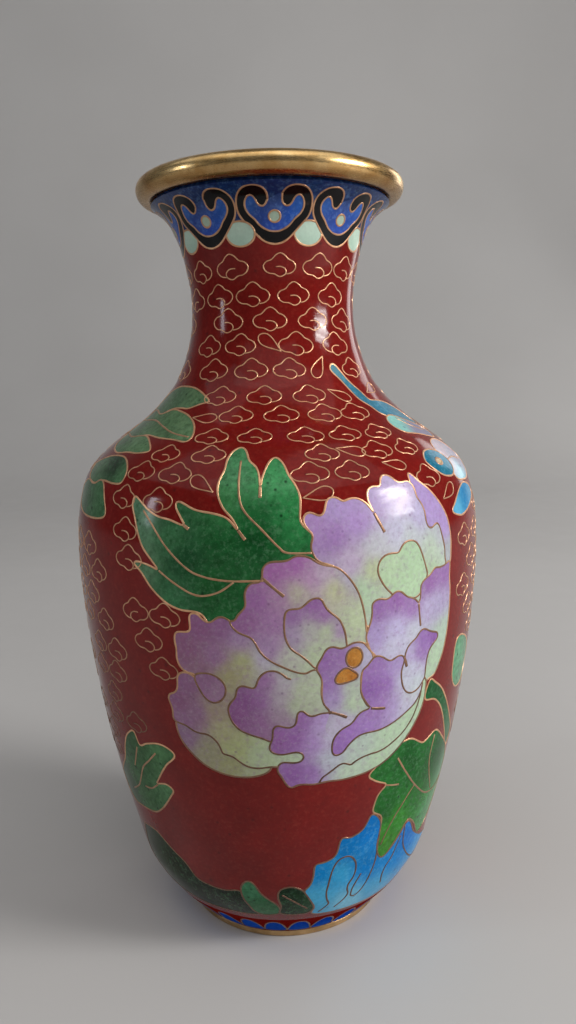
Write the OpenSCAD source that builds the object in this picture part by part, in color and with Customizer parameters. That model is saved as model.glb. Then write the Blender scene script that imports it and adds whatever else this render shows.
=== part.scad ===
// Cloisonne vase: copper body and neck, gilt foot and rim, coloured enamel cells between wires.
// Units are millimetres. The origin is the centre of the foot, +Z is up and the front faces -Y.

/* [Overall] */
// Height from the foot to the top of the rim
height = 150; // [120:5:200]
// Widest diameter, across the belly
belly_d = 81.8; // [74:0.2:92]
// Narrowest diameter, across the neck
neck_d = 32.4; // [28:0.2:38]
// Diameter of the flared lip, just under the rim
lip_d = 47; // [44:0.5:50]
// Diameter of the gilt edge of the foot
foot_d = 42; // [38:0.5:46]

/* [Walls] */
// Thickness of the copper
copper_t = 1; // [0.8:0.1:1.2]
// Depth of the outer enamel and of the wires in it
enamel_t = 0.8; // [0.6:0.1:1]
// Thickness of the plain enamel inside and under the base
lining_t = 0.4; // [0.3:0.1:0.6]
// Width of a wire's visible edge
wire_w = 0.4; // [0.3:0.05:0.5]
// How far the cloud wires stand above the ground enamel
cloud_rise = 0.2; // [0.15:0.05:0.3]

/* [Foot and rim] */
// Diameter across the rim
rim_d = 52.6; // [50:0.2:58]
// Thickness of the rim's round bead
bead_d = 4.4; // [4:0.2:5]
// Height of the gilt edge that shows below the enamel
foot_edge_h = 1.4; // [1:0.1:2]
// Height of the recess under the base
recess_h = 4; // [3.5:0.5:6]
// Thickness of the copper base plate
plate_t = 1; // [0.8:0.1:1.4]

/* [Pattern] */
// Number of ruyi heads around the collar
head_count = 9; // [9:1:9]
// Number of scallops around the foot
scallop_count = 30; // [24:1:32]
// Number of petals on the flower at the back
rear_petals = 9; // [7:1:11]

/* [Hidden] */
$fn = 120;

// The pattern's heights are drawn for a vase 150 mm tall and scale with it
unit = height / 150;
foot_r = foot_d / 2;
belly_r = belly_d / 2;
neck_r = neck_d / 2;
lip_r = lip_d / 2;
wall_t = enamel_t + copper_t + lining_t;
// Width of the ring under the foot
ring_w = 3;
// How far a pocket is cut past the skin and past the back of the enamel
pocket_gap = 0.5;
// Heights where one piece of the skin gives way to the next
lip_z = height - 4.9;
collar_z = 136.9 * unit;
border_z = 8 * unit;
joint_z = 116 * unit;

// Profile stations, each a height and a share of the way from one main radius to the next
lower_curve = [[8, 0.285], [14, 0.465], [22, 0.58], [36, 0.75], [52, 0.89], [68, 0.98], [80, 1]];
upper_curve = [[89, 0.96], [95, 0.865], [99.5, 0.68], [104, 0.43], [110, 0.19], [117, 0.055], [125, 0]];
flare_curve = [[134, 0.14], [140, 0.4], [143.5, 0.71]];
stations = concat(
    [[foot_edge_h, foot_r]],
    [for (s = lower_curve) [s[0] * unit, foot_r + (belly_r - foot_r) * s[1]]],
    [for (s = upper_curve) [s[0] * unit, neck_r + (belly_r - neck_r) * s[1]]],
    [for (s = flare_curve) [s[0] * unit, neck_r + (lip_r - neck_r) * s[1]]],
    [[lip_z, lip_r]]);
last = len(stations) - 1;
// Straight steps between two stations: one at the foot and the lip, two on the body and the neck
function steps(i) = i == 0 || stations[i][0] >= 134 * unit ? 1 : 2;

// A smooth curve through the stations: radius and slope at any height
function span(z, i = 0) = i >= last - 1 || z < stations[i + 1][0] ? i : span(z, i + 1);
function gap(i) = stations[i + 1][0] - stations[i][0];
function chord(i) = (stations[i + 1][1] - stations[i][1]) / gap(i);
function knot_slope(i) = i == 0 ? chord(0) : i == last ? chord(last - 1) * 1.15
    : (chord(i - 1) * gap(i) + chord(i) * gap(i - 1)) / (gap(i - 1) + gap(i));
function r_at(z) = let (i = span(z), g = gap(i), f = (z - stations[i][0]) / g)
    stations[i][1] * (2 * f ^ 3 - 3 * f ^ 2 + 1) + knot_slope(i) * g * (f ^ 3 - 2 * f ^ 2 + f)
    + stations[i + 1][1] * (3 * f ^ 2 - 2 * f ^ 3) + knot_slope(i + 1) * g * (f ^ 3 - f ^ 2);
function slope_at(z) = (r_at(z + 0.05) - r_at(z - 0.05)) / 0.1;

// The point at a depth below the enamel's skin, square to the surface
function skin(z, depth) = let (m = slope_at(z), n = sqrt(1 + m * m))
    [r_at(z) - depth / n, z + depth * m / n];
function levels(z0, z1) = concat([z0],
    [for (i = [0 : last - 1], k = [0 : steps(i) - 1])
        let (z = stations[i][0] + gap(i) * k / steps(i)) if (z > z0 + 0.2 && z < z1 - 0.2) z], [z1]);
function wall(depth0, depth1, z0, z1) = let (zs = levels(z0, z1), n = len(zs)) concat(
    [for (z = zs) skin(z, depth0)], [for (k = [1 : n]) skin(zs[n - k], depth1)]);

// A shell of the vase between two depths and two heights
module layer(depth0, depth1, z0, z1) {
    rotate_extrude() polygon(wall(depth0, depth1, z0, z1));
}

// Everything inside a depth, between two flat heights
module cavity(depth, z0, z1) {
    intersection() {
        rotate_extrude() polygon(concat([[0, foot_edge_h - 1]], [for (z = levels(foot_edge_h, lip_z))
            skin(z, depth)], [[0, lip_z + bead_d]]));
        translate([0, 0, z0]) cylinder(r = belly_r, h = z1 - z0);
    }
}

// A straight block with a flat outline, through the wall that faces one way
module facing(azimuth) {
    rotate([0, 0, azimuth]) rotate([90, 0, 0]) linear_extrude(height = belly_d) children();
}

// The part of the outer enamel that a flat outline covers, and the pocket that it sits in
module inlay(azimuth, z0, z1) {
    intersection() {
        layer(0, enamel_t, z0 * unit, z1 * unit);
        facing(azimuth) children();
    }
}
module recess(azimuth, z0, z1) {
    intersection() {
        layer(-pocket_gap, enamel_t + pocket_gap, z0 * unit, z1 * unit);
        facing(azimuth) children();
    }
}

// Outlines are lists of [degrees around, height]; this lays one flat as seen from one way
function seen(outline, azimuth) = [for (p = outline)
    let (z = p[1] * unit) [r_at(z) * sin(p[0] - azimuth), z]];
// A round curve through the points of a closed or an open line
function curve_point(a, b, c, d, f) = 0.5 * (2 * b + (c - a) * f + (2 * a - 5 * b + 4 * c - d) * f ^ 2
    + (3 * b - a - 3 * c + d) * f ^ 3);
function closed_curve(pts, n = 2) = let (m = len(pts)) [for (i = [0 : m - 1], k = [0 : n - 1])
    curve_point(pts[(i + m - 1) % m], pts[i], pts[(i + 1) % m], pts[(i + 2) % m], k / n)];
function open_curve(pts, n = 2) = let (m = len(pts)) concat([for (i = [0 : m - 2], k = [0 : n - 1])
    curve_point(pts[max(i - 1, 0)], pts[i], pts[i + 1], pts[min(i + 2, m - 1)], k / n)], [pts[m - 1]]);
// Growing an outline, or giving a line its width, by moving each point along its normal
function turned(v) = norm(v) == 0 ? [0, 0] : [v[1], -v[0]] / norm(v);
function area(pts) = let (m = len(pts)) [for (i = [0 : m - 1])
    pts[i][0] * pts[(i + 1) % m][1] - pts[(i + 1) % m][0] * pts[i][1]] * [for (i = [1 : m]) 0.5];
function grown(pts, d) = let (m = len(pts), s = sign(area(pts))) [for (i = [0 : m - 1])
    pts[i] + turned(pts[(i + 1) % m] - pts[(i + m - 1) % m]) * s * d];
function side(pts, d) = let (m = len(pts)) [for (i = [0 : m - 1])
    pts[i] + turned(pts[min(i + 1, m - 1)] - pts[max(i - 1, 0)]) * d];
function stroke(pts, w) = let (m = len(pts), back = side(pts, -w / 2))
    concat(side(pts, w / 2), [for (i = [1 : m]) back[m - i]]);

module cell(pts) polygon(grown(pts, -wire_w / 2));
module pocket(pts) polygon(grown(pts, wire_w / 2));
module edge_wire(pts) {
    difference() {
        pocket(pts);
        cell(pts);
    }
}
module lines(list, azimuth) {
    for (line = list) polygon(stroke(open_curve(seen(line, azimuth)), wire_w));
}

// Peony on the front
front_az = 4;
peony_outline = [[-21.5, 73], [-22, 70], [-25.7, 69.6], [-26.2, 65.5], [-24.5, 62.8], [-27, 61],
    [-29.5, 57], [-29, 52.5], [-26.5, 47.8], [-21, 44.3], [-14, 43], [-6, 43.6], [-2.6, 45],
    [-0.4, 43.4], [2, 41], [10, 41.6], [22, 42], [33, 45.2], [40, 50], [41.8, 54], [42.5, 57.4],
    [46.5, 60], [48.8, 66], [49, 73], [48.6, 79], [49, 84], [47, 89.5], [42, 93], [36.5, 94],
    [31.5, 94.7], [28, 95], [25.5, 93.5], [22.4, 92], [20.5, 91.3], [16, 91.7], [13, 92], [10.8, 89.8],
    [7, 90], [6.2, 88.2], [8, 85.5], [6.5, 83.3], [2, 82.5], [-3.4, 81.8], [-3.8, 79.5], [-7, 78.6],
    [-8, 75.2], [-10.2, 73], [-14.5, 73], [-16.6, 72], [-19.3, 73.3]];
peony_lines = [
    [[-11.5, 73.6], [-9, 70.2], [-6, 69], [-3, 66], [2, 63.8], [8, 63.4]],
    [[8, 63.4], [4, 66.6], [1, 70], [1.6, 74], [6, 75.2], [9.5, 75.6], [13.5, 72.2], [15.7, 67]],
    [[7.2, 84.8], [10, 81.6], [15, 80.2], [19.5, 76], [20.9, 71], [20.8, 67.6]],
    [[20.8, 69], [22.4, 74.2], [28.5, 75.5], [35, 73.6], [37, 70], [37.5, 68]],
    [[27, 75.3], [23.8, 79.5], [26, 82], [30.4, 82.6], [33.5, 83.9], [37.4, 81], [39, 77.4]],
    [[36.6, 94.8], [37.6, 91], [39.6, 86], [43.6, 86], [46.3, 80], [46.3, 78.2]],
    [[49.8, 79], [42.5, 78.2], [37.4, 76.4], [36.6, 72]],
    [[8, 63.4], [10, 59.5], [12, 55.4], [16.5, 54]],
    [[12, 55.4], [7, 55], [4.3, 56], [3, 53.2], [-1.8, 53.2], [-3.3, 49.6], [0, 48], [5, 47.6]],
    [[5, 47.6], [2, 46.1], [-1.4, 45.8], [-2.2, 43.8]],
    [[-3.3, 50.4], [-9.5, 51.9], [-13.4, 55.6], [-10.8, 60.2], [-6.4, 60.6], [-3, 63.5], [1.8, 62]],
    [[-29.4, 52.6], [-20, 51.1], [-16.4, 47.8], [-9, 45.2], [-2, 45.2]],
    [[20.8, 67.6], [20, 62], [21, 57], [27.5, 54.2]],
    [[20, 62], [24.5, 64.3], [28.5, 63.3], [31.6, 63], [32.4, 58.6], [36.5, 55.8], [40.8, 57.6]],
    [[31.6, 63], [35, 66.2], [38, 67.3], [44.4, 65.4], [41, 62.4], [40.8, 57.6]],
    [[40.8, 57.6], [38, 53.2], [28, 50.3], [19, 49.5], [14.4, 46.8], [13, 49.4], [18, 52.6], [23.6, 55]],
    [[9.6, 41], [14.6, 44.5], [20, 45], [30, 46.6], [38, 51], [40.8, 57.6]]];
stamen_outlines = [[[16.6, 64], [16.4, 66], [18, 66.6], [19.4, 65.4], [19.2, 63.6]],
    [[13.4, 62.2], [15, 63.4], [17.4, 62.8], [18.2, 61.4], [14.4, 61.2]]];

// Leaf spray behind the peony, with its veins
spray_outline = [[-38.8, 92.3], [-33, 90], [-24.4, 88.4], [-25, 91.6], [-20, 90.6], [-12.4, 89.2],
    [-14.6, 94], [-13.6, 98], [-10, 100.3], [-7, 98], [-4, 94.4], [-1.6, 98.2], [1, 97.8],
    [4.6, 94.4], [5.4, 89], [11, 84],
    [9, 80], [0, 76], [-8, 70], [-15, 69.6], [-20, 73.6], [-28, 74.8], [-33, 77.8], [-37.4, 81],
    [-31, 80.8], [-34.4, 83.6], [-37.6, 88.4]];
spray_veins = [[[-36, 90.6], [-30, 85.4], [-22, 81], [-14, 79.4], [-6, 79.2]],
    [[-9.6, 98.4], [-9, 92], [-5, 88.6], [1, 84.6]]];
// Leaves that stand alone, each with its azimuth, lowest and highest slice, outline and veins
lone_leaves = [
    [-56, 96, 114, [[-31, 107.6], [-42, 109.4], [-54, 110.4], [-66, 111], [-78, 108], [-80, 103],
        [-74, 99.2], [-64, 99.4], [-42.6, 99.6], [-50, 101.2], [-44, 101.8], [-30, 101.2],
        [-34, 104.4], [-44, 106]], [[[-36, 102.6], [-50, 104], [-66, 105.4], [-77, 105.6]]]],
    [-62, 84, 100, [[-45.4, 95.4], [-48.4, 97.2], [-56, 97.8], [-70, 97], [-80, 93], [-76, 89],
        [-64, 88], [-50, 87.8], [-54, 91.4], [-56.6, 93.8], [-49, 94]],
        [[[-48, 95.6], [-60, 95.4], [-72, 93]]]],
    [-47, 26, 50, [[-46.8, 47.4], [-51, 45.6], [-56, 41.4], [-62, 37], [-66, 32], [-62, 29.6],
        [-52, 29.6], [-46, 30.2], [-41, 32.6], [-34, 37.2], [-36.4, 38.4], [-40.8, 37.6],
        [-36.6, 41], [-31, 45.4], [-35, 46.8], [-45, 44.8]],
        [[[-33, 45.4], [-42, 42], [-48, 38.6], [-54, 33.4], [-64, 31]]]],
    [-24, 8.4, 26, [[-12.6, 19.6], [-16, 17.8], [-24, 16.6], [-34, 19.8], [-46, 23.4], [-58, 23],
        [-60, 17], [-50, 12.4], [-34, 10.6], [-20, 10.4], [-8, 10.6], [0.4, 10.6], [-2.4, 14],
        [-8, 15.8]], [[[-56, 18.6], [-40, 16.6], [-24, 13.6], [-10, 13.4]]]]];
right_outline = [[25, 38.6], [29, 38.4], [33, 42], [39, 44.6], [44, 43.4], [51, 44.6], [58, 41.6],
    [64, 38], [70, 31], [72, 25], [62, 26.4], [54, 24], [47, 26.6], [42, 25.4], [38.6, 22],
    [35, 20.8], [31.4, 24], [31.6, 29.6], [27.4, 33.2], [28, 36.4]];
right_veins = [[[32.6, 40.6], [37, 38], [44, 34.6], [54, 30.4], [66, 28]],
    [[44, 34.6], [49, 39], [50.6, 43]]];
// Leaves around the back, each a pointed oval: azimuth, height, half length, half width, tilt
rear_leaves = [[104, 66, 15, 5, 62], [112, 38, 14, 5.5, 118], [128, 90, 12, 4.6, 20],
    [140, 24, 15, 5, 30], [222, 24, 15, 5, 150], [236, 84, 13, 5, 140], [246, 48, 14, 5.4, 60],
    [262, 76, 13, 4.6, 112]];
function oval_leaf(l) = [for (i = [0 : 15]) let (a = i * 22.5,
    x = l[2] * cos(a), y = l[3] * sin(a) * (1 - 0.35 * cos(a)),
    z = l[1] + x * sin(l[4]) + y * cos(l[4]))
    [l[0] + (x * cos(l[4]) - y * sin(l[4])) / r_at(z * unit) * 180 / PI, z]];

// Blue flower low on the right
blue_az = 42;
blue_outline = [[6, 17], [8, 18.4], [9.4, 23.2], [14.6, 24], [17, 28.6], [24.6, 28.4], [26.6, 32],
    [30.4, 31], [32.6, 25], [36, 21], [41, 23.6], [46, 27], [52, 23.8], [60, 22.6], [68, 18.6],
    [70, 13], [62, 10.4], [48, 9.4], [30, 9.4], [12, 9.6], [10, 12.4]];
blue_lines = [[[14.4, 13.8], [12.8, 17], [14.6, 22.4], [18, 24.2], [23, 22], [22.4, 18.6]],
    [[24.6, 14], [23, 17.6], [26, 20.4], [32, 20]],
    [[34, 18.4], [37, 16.4], [41, 12.8]], [[46, 22], [54, 17.6], [64, 13.4]]];

// Butterfly on the right shoulder: tail streamer, upper wing, head and body, lower wing
butterfly_az = 56;
butterfly_outlines = [
    [[33, 113.4], [36, 114.3], [42, 111.8], [49, 108], [58, 107.4], [66, 105.4], [72, 103.4], [64, 101.6],
    [54, 101.6], [50, 104.2], [42, 109.4]],
    [[47.6, 96.6], [52, 98.2], [58, 98], [64, 99.4], [72, 98.6], [76, 95.6], [70, 92], [61, 93], [52.6, 94]],
    [[51.6, 87.4], [56, 89.4], [62, 91.2], [67, 90.4], [66, 88.2], [57, 86.4]]];

// Flower at the back: a ring of round petals about a disc
rear_az = 180;
rear_z = 58;
rear_r = 22;
disc_r = 6;
function rear_point(a, r) = [rear_az + r * cos(a) / belly_r * 180 / PI, rear_z + r * sin(a)];
rear_outline = [for (i = [0 : 6 * rear_petals - 1]) let (a = i * 60 / rear_petals)
    rear_point(a, rear_r * (0.82 + 0.18 * sqrt(abs(sin(a * rear_petals / 2)))))];
rear_disc = [for (i = [0 : 19]) rear_point(i * 18, disc_r)];
rear_lines = [for (i = [0 : rear_petals - 1]) [for (f = [0, 0.5, 1])
    rear_point(i * 360 / rear_petals, disc_r + (rear_r * 0.82 - disc_r) * f)]];

// Ruyi heads on the collar, drawn about azimuth zero, and the slice of the skin that they lie in
collar_low = 133.5;
collar_high = lip_z / unit;
head_az = 2;
head_pitch = 360 / head_count;
// Half of a head's band, from the middle below, round the outside and the curl, and back inside
band_half = [[0, 135.5], [6, 136], [10.5, 137.3], [14.6, 138.8], [17, 140.2], [17.6, 141.6],
    [17, 143], [14.6, 144.1], [10, 144.5], [6, 144.2], [3.9, 143.4], [3.5, 142.5], [4.8, 141.7],
    [7.2, 141.6], [8.8, 142.2], [9.6, 142.9], [11.6, 143.2], [13.5, 142.5], [14, 141.5],
    [12.8, 140.4], [9.8, 139.2], [6, 138.1], [2, 137.6]];
band_end = len(band_half) - 1;
curl_tip = 11;
head_outline = concat(band_half, [for (i = [band_end : -1 : 1]) [-band_half[i][0], band_half[i][1]]]);
// The heart fills the band from its inside edge up to a straight line between the curls
heart_half = [for (i = [band_end : -1 : curl_tip]) band_half[i]];
heart_outline = concat(heart_half, [for (i = [len(heart_half) - 1 : -1 : 0])
    [-heart_half[i][0], heart_half[i][1]]]);
dot_outline = [for (i = [0 : 9]) [3 * cos(i * 36), 139.8 + 0.95 * sin(i * 36)]];
drop_outline = [for (i = [0 : 9]) [5.8 * cos(i * 36), collar_z / unit + 1.35 * sin(i * 36)]];

// Scallops on the foot, drawn about azimuth zero
scallop_w = 300 / scallop_count;
scallop_outline = [for (i = [0 : 8]) [-scallop_w / 2 * cos(i * 22.5), 2.2 + 4.6 * sin(i * 22.5)]];

// Cloud wires on the neck: height of the row, clouds in it, azimuth of the first
cloud_rows = [[132, 13, 4.5], [127, 13, -13], [122.4, 12, -2], [117.8, 12, 14], [113.2, 13, -13],
    [108.8, 15, -5], [105.4, 18, 4]];
// Lobes of a cloud, each across, up and radius from its centre
cloud_lobes = [[0, -0.4, 1.5], [0.1, 0.5, 1.5], [-1.8, -0.3, 1.3], [-0.8, -1, 1.1], [0.7, -1.1, 1.1],
    [1.9, -0.3, 1.3]];
// How far a flat cloud reaches under the round ground, so that its ends stay down
cloud_root = 0.35;

module each_head(turn = 0) {
    for (i = [0 : head_count - 1]) rotate([0, 0, head_az + (i + turn) * head_pitch]) children();
}
module head_inlay() inlay(0, collar_low, collar_high) children();

// Copper shell from the foot to the shoulder seam
module body_shell() color("peru") layer(enamel_t, enamel_t + copper_t, foot_edge_h, joint_z);

// Copper shell from the shoulder seam to the lip
module neck_shell() color("chocolate") layer(enamel_t, enamel_t + copper_t, joint_z, lip_z);

// Disc that closes the bottom of the copper body
module base_plate() color("sienna") cavity(enamel_t + copper_t, recess_h, recess_h + plate_t);

// Gilt ring that the vase stands on, with a lip inside that carries the base plate
module foot_ring() {
    outer = skin(foot_edge_h, 0);
    inner = skin(foot_edge_h, enamel_t + copper_t);
    color("goldenrod") rotate_extrude() polygon([[foot_r - ring_w, 0], [foot_r - 0.4, 0], [foot_r, 0.4],
        outer, inner, [foot_r - ring_w + 1, inner[1]], [foot_r - ring_w + 1, recess_h],
        [foot_r - ring_w, recess_h]]);
}

// Gilt bead that wraps the edge of the lip
module rim_ring() {
    color("gold") difference() {
        rotate_extrude() translate([(rim_d - bead_d) / 2, height - bead_d / 2]) circle(d = bead_d);
        layer(0, wall_t, lip_z - 6, lip_z);
    }
}

// Plain enamel that lines the inside
module lining_enamel() {
    color("steelblue") difference() {
        cavity(enamel_t + copper_t, recess_h + plate_t, lip_z - 6);
        cavity(wall_t, recess_h + plate_t + lining_t, lip_z - 5);
    }
    color("steelblue") layer(enamel_t + copper_t, wall_t, lip_z - 2, lip_z);
}

// Plain enamel under the base, inside the foot ring
module base_enamel() {
    color("steelblue") translate([0, 0, recess_h - lining_t]) cylinder(r = foot_r - ring_w, h = lining_t);
}

// Red ground between the scallops of the foot border
module border_ground() {
    color("firebrick") difference() {
        layer(0, enamel_t, foot_edge_h, border_z);
        each_scallop() recess(0, 1.6, 7.6) pocket(seen(scallop_outline, 0));
    }
}

// Red ground of the body, with a pocket for every motif
module body_ground() {
    color("firebrick") difference() {
        layer(0, enamel_t, border_z, joint_z);
        recess(front_az, 38, 103) front_pocket();
        recess(blue_az, 8.4, 48) blue_pocket();
        for (l = lone_leaves) recess(l[0], l[1], l[2]) pocket(seen(l[3], l[0]));
        for (o = butterfly_outlines) recess(butterfly_az, 84, 116) pocket(seen(o, butterfly_az));
        for (l = rear_leaves) recess(l[0], l[1] - 16, l[1] + 16) pocket(seen(oval_leaf(l), l[0]));
        recess(rear_az, 32, 84) pocket(seen(rear_outline, rear_az));
    }
}

// Red ground of the neck, under the ruyi heads
module neck_ground() {
    color("firebrick") difference() {
        layer(0, enamel_t, joint_z, collar_z);
        each_head() recess(0, collar_low, collar_high) pocket(seen(head_outline, 0));
        each_head(0.5) recess(0, collar_low, collar_high) pocket(seen(drop_outline, 0));
    }
}

// Blue ground of the collar, from the middle of the drops up to the lip, and down to the hearts
module collar_enamel() {
    color("royalblue") difference() {
        layer(0, enamel_t, collar_z, lip_z);
        each_head() recess(0, collar_low, collar_high) {
            pocket(seen(head_outline, 0));
            cell(seen(heart_outline, 0));
        }
        each_head(0.5) recess(0, collar_low, collar_high) pocket(seen(drop_outline, 0));
    }
}

module ruyi_bands() {
    color("black") each_head() head_inlay() cell(seen(head_outline, 0));
}

module ruyi_hearts() {
    color("dodgerblue") each_head() head_inlay() difference() {
        cell(seen(heart_outline, 0));
        pocket(seen(dot_outline, 0));
    }
}

module ruyi_dots() {
    color("palegreen") each_head() head_inlay() cell(seen(dot_outline, 0));
}

module collar_drops() {
    color("aquamarine") each_head(0.5) head_inlay() cell(seen(drop_outline, 0));
}

module collar_wires() {
    color("gold") {
        each_head() head_inlay() {
            edge_wire(seen(head_outline, 0));
            edge_wire(seen(dot_outline, 0));
        }
        each_head(0.5) head_inlay() edge_wire(seen(drop_outline, 0));
    }
}

// Where one motif lies over another, the upper one is cut out of the lower one
module front_pocket() {
    pocket(seen(spray_outline, front_az));
    pocket(seen(peony_outline, front_az));
}
module blue_pocket() {
    pocket(seen(right_outline, blue_az));
    pocket(seen(blue_outline, blue_az));
}

module peony_petals() {
    color("plum") inlay(front_az, 38, 99) difference() {
        cell(seen(peony_outline, front_az));
        lines(peony_lines, front_az);
        for (o = stamen_outlines) pocket(seen(o, front_az));
    }
}

module peony_stamens() {
    color("orange") inlay(front_az, 56, 70) for (o = stamen_outlines) cell(seen(o, front_az));
}

module peony_wires() {
    color("gold") inlay(front_az, 38, 99) {
        edge_wire(seen(peony_outline, front_az));
        difference() {
            intersection() {
                cell(seen(peony_outline, front_az));
                lines(peony_lines, front_az);
            }
            for (o = stamen_outlines) pocket(seen(o, front_az));
        }
        for (o = stamen_outlines) edge_wire(seen(o, front_az));
    }
}

module leaves() {
    color("seagreen") {
        inlay(front_az, 66, 103) difference() {
            cell(seen(spray_outline, front_az));
            lines(spray_veins, front_az);
            pocket(seen(peony_outline, front_az));
        }
        inlay(blue_az, 17, 48) difference() {
            cell(seen(right_outline, blue_az));
            lines(right_veins, blue_az);
            pocket(seen(blue_outline, blue_az));
        }
        for (l = lone_leaves) inlay(l[0], l[1], l[2]) difference() {
            cell(seen(l[3], l[0]));
            lines(l[4], l[0]);
        }
        for (l = rear_leaves) inlay(l[0], l[1] - 16, l[1] + 16) cell(seen(oval_leaf(l), l[0]));
    }
}

// The wires of a leaf: its edge, and its veins inside the edge
module leaf_lines(outline, veins, azimuth) {
    edge_wire(seen(outline, azimuth));
    intersection() {
        cell(seen(outline, azimuth));
        lines(veins, azimuth);
    }
}

module leaf_wires() {
    color("gold") {
        inlay(front_az, 66, 103) difference() {
            leaf_lines(spray_outline, spray_veins, front_az);
            pocket(seen(peony_outline, front_az));
        }
        inlay(blue_az, 17, 48) difference() {
            leaf_lines(right_outline, right_veins, blue_az);
            pocket(seen(blue_outline, blue_az));
        }
        for (l = lone_leaves) inlay(l[0], l[1], l[2]) leaf_lines(l[3], l[4], l[0]);
        for (l = rear_leaves) inlay(l[0], l[1] - 16, l[1] + 16) edge_wire(seen(oval_leaf(l), l[0]));
    }
}

module blue_flower() {
    color("deepskyblue") inlay(blue_az, 8.4, 36) difference() {
        cell(seen(blue_outline, blue_az));
        lines(blue_lines, blue_az);
    }
}

module blue_flower_wires() {
    color("gold") inlay(blue_az, 8.4, 36) leaf_lines(blue_outline, blue_lines, blue_az);
}

module butterfly() {
    color("cadetblue") for (o = butterfly_outlines) inlay(butterfly_az, 84, 116) cell(seen(o, butterfly_az));
}

module butterfly_wires() {
    color("gold") for (o = butterfly_outlines) inlay(butterfly_az, 84, 116) edge_wire(seen(o, butterfly_az));
}

module rear_blossom() {
    color("pink") inlay(rear_az, 32, 84) {
        difference() {
            cell(seen(rear_outline, rear_az));
            pocket(seen(rear_disc, rear_az));
            lines(rear_lines, rear_az);
        }
        cell(seen(rear_disc, rear_az));
    }
}

module rear_blossom_wires() {
    color("gold") inlay(rear_az, 32, 84) {
        edge_wire(seen(rear_outline, rear_az));
        edge_wire(seen(rear_disc, rear_az));
        difference() {
            intersection() {
                cell(seen(rear_outline, rear_az));
                lines(rear_lines, rear_az);
            }
            pocket(seen(rear_disc, rear_az));
        }
    }
}

module each_scallop() {
    for (i = [0 : scallop_count - 1]) rotate([0, 0, (i + 0.5) * 360 / scallop_count]) children();
}

module foot_scallops() {
    color("cornflowerblue") each_scallop() inlay(0, 1.6, 7.6) cell(seen(scallop_outline, 0));
}

module foot_wires() {
    color("gold") each_scallop() inlay(0, 1.6, 7.6) edge_wire(seen(scallop_outline, 0));
}

// A ring of wire for each cloud, laid flat against the slope of the ground enamel
module cloud(inset) {
    for (l = cloud_lobes) translate([l[0], l[1]]) circle(r = l[2] - inset);
}

module cloud_wires() {
    color("gold") for (row = cloud_rows) {
        z = row[0] * unit;
        for (i = [0 : row[1] - 1])
            rotate([0, 0, row[2] + i * 360 / row[1]]) translate([0, -r_at(z), z])
                rotate([90 - atan(slope_at(z)), 0, 0]) translate([0, 0, -cloud_root])
                    linear_extrude(height = cloud_root + cloud_rise) difference() {
                        cloud(0);
                        cloud(wire_w);
                    }
    }
}

body_shell();
neck_shell();
base_plate();
foot_ring();
rim_ring();
lining_enamel();
base_enamel();
border_ground();
body_ground();
neck_ground();
collar_enamel();
ruyi_bands();
ruyi_hearts();
ruyi_dots();
collar_drops();
collar_wires();
peony_petals();
peony_stamens();
peony_wires();
leaves();
leaf_wires();
blue_flower();
blue_flower_wires();
butterfly();
butterfly_wires();
rear_blossom();
rear_blossom_wires();
foot_scallops();
foot_wires();
cloud_wires();
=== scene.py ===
"""Looks of the cloisonne vase: enamel cells, wires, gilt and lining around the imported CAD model.

Outlines are lists of (degrees around, height in mm). Azimuth 0 faces -Y, the camera's side, and grows to
the right. Each enamel cell is cut from one triangulated skin by painter's order, so a cell drawn later
lies over an earlier one, and every border between two cells gets its wire.
"""
import math
import random

import bpy
import numpy as np
from mathutils import Matrix, Vector
from mathutils.geometry import delaunay_2d_cdt


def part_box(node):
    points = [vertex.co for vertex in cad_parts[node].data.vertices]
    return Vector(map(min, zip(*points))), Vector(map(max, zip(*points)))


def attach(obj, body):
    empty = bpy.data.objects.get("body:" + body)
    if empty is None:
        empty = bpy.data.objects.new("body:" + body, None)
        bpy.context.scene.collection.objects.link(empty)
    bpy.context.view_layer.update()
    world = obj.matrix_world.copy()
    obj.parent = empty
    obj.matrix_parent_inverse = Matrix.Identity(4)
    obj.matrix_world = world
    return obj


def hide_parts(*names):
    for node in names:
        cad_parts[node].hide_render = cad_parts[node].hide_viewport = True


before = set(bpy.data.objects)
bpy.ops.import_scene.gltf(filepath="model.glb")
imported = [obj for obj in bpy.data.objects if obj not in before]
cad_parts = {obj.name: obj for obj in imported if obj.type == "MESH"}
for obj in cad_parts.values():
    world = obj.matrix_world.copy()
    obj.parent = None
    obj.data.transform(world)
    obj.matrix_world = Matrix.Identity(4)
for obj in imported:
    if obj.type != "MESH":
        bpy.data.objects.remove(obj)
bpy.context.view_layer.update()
random.seed(7)

MM = 0.001
DEG = math.pi / 180

# Sizes in millimetres, measured on the CAD frame
ENAMEL = 0.8
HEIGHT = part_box("rim_ring")[1].z / MM
RIM_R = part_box("rim_ring")[1].x / MM
RIM_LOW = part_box("rim_ring")[0].z / MM
FOOT_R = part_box("foot_ring")[1].x / MM
BELLY_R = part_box("body_ground")[1].x / MM
LIP_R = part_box("collar_enamel")[1].x / MM
LIP_Z = HEIGHT - 4.9
FOOT_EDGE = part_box("border_ground")[0].z / MM
NECK_R = min(math.hypot(v.co.x, v.co.y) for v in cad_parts["neck_ground"].data.vertices) / MM + ENAMEL
BORDER_Z = 8.0
JOINT_Z = 116.0
COLLAR_Z = 137.3
COPPER = 1.0
LINING = 0.4
# The azimuth at which the skin is cut open to lie flat
SEAM = -146.0

# ---------------------------------------------------------------- the vase's profile

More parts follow.
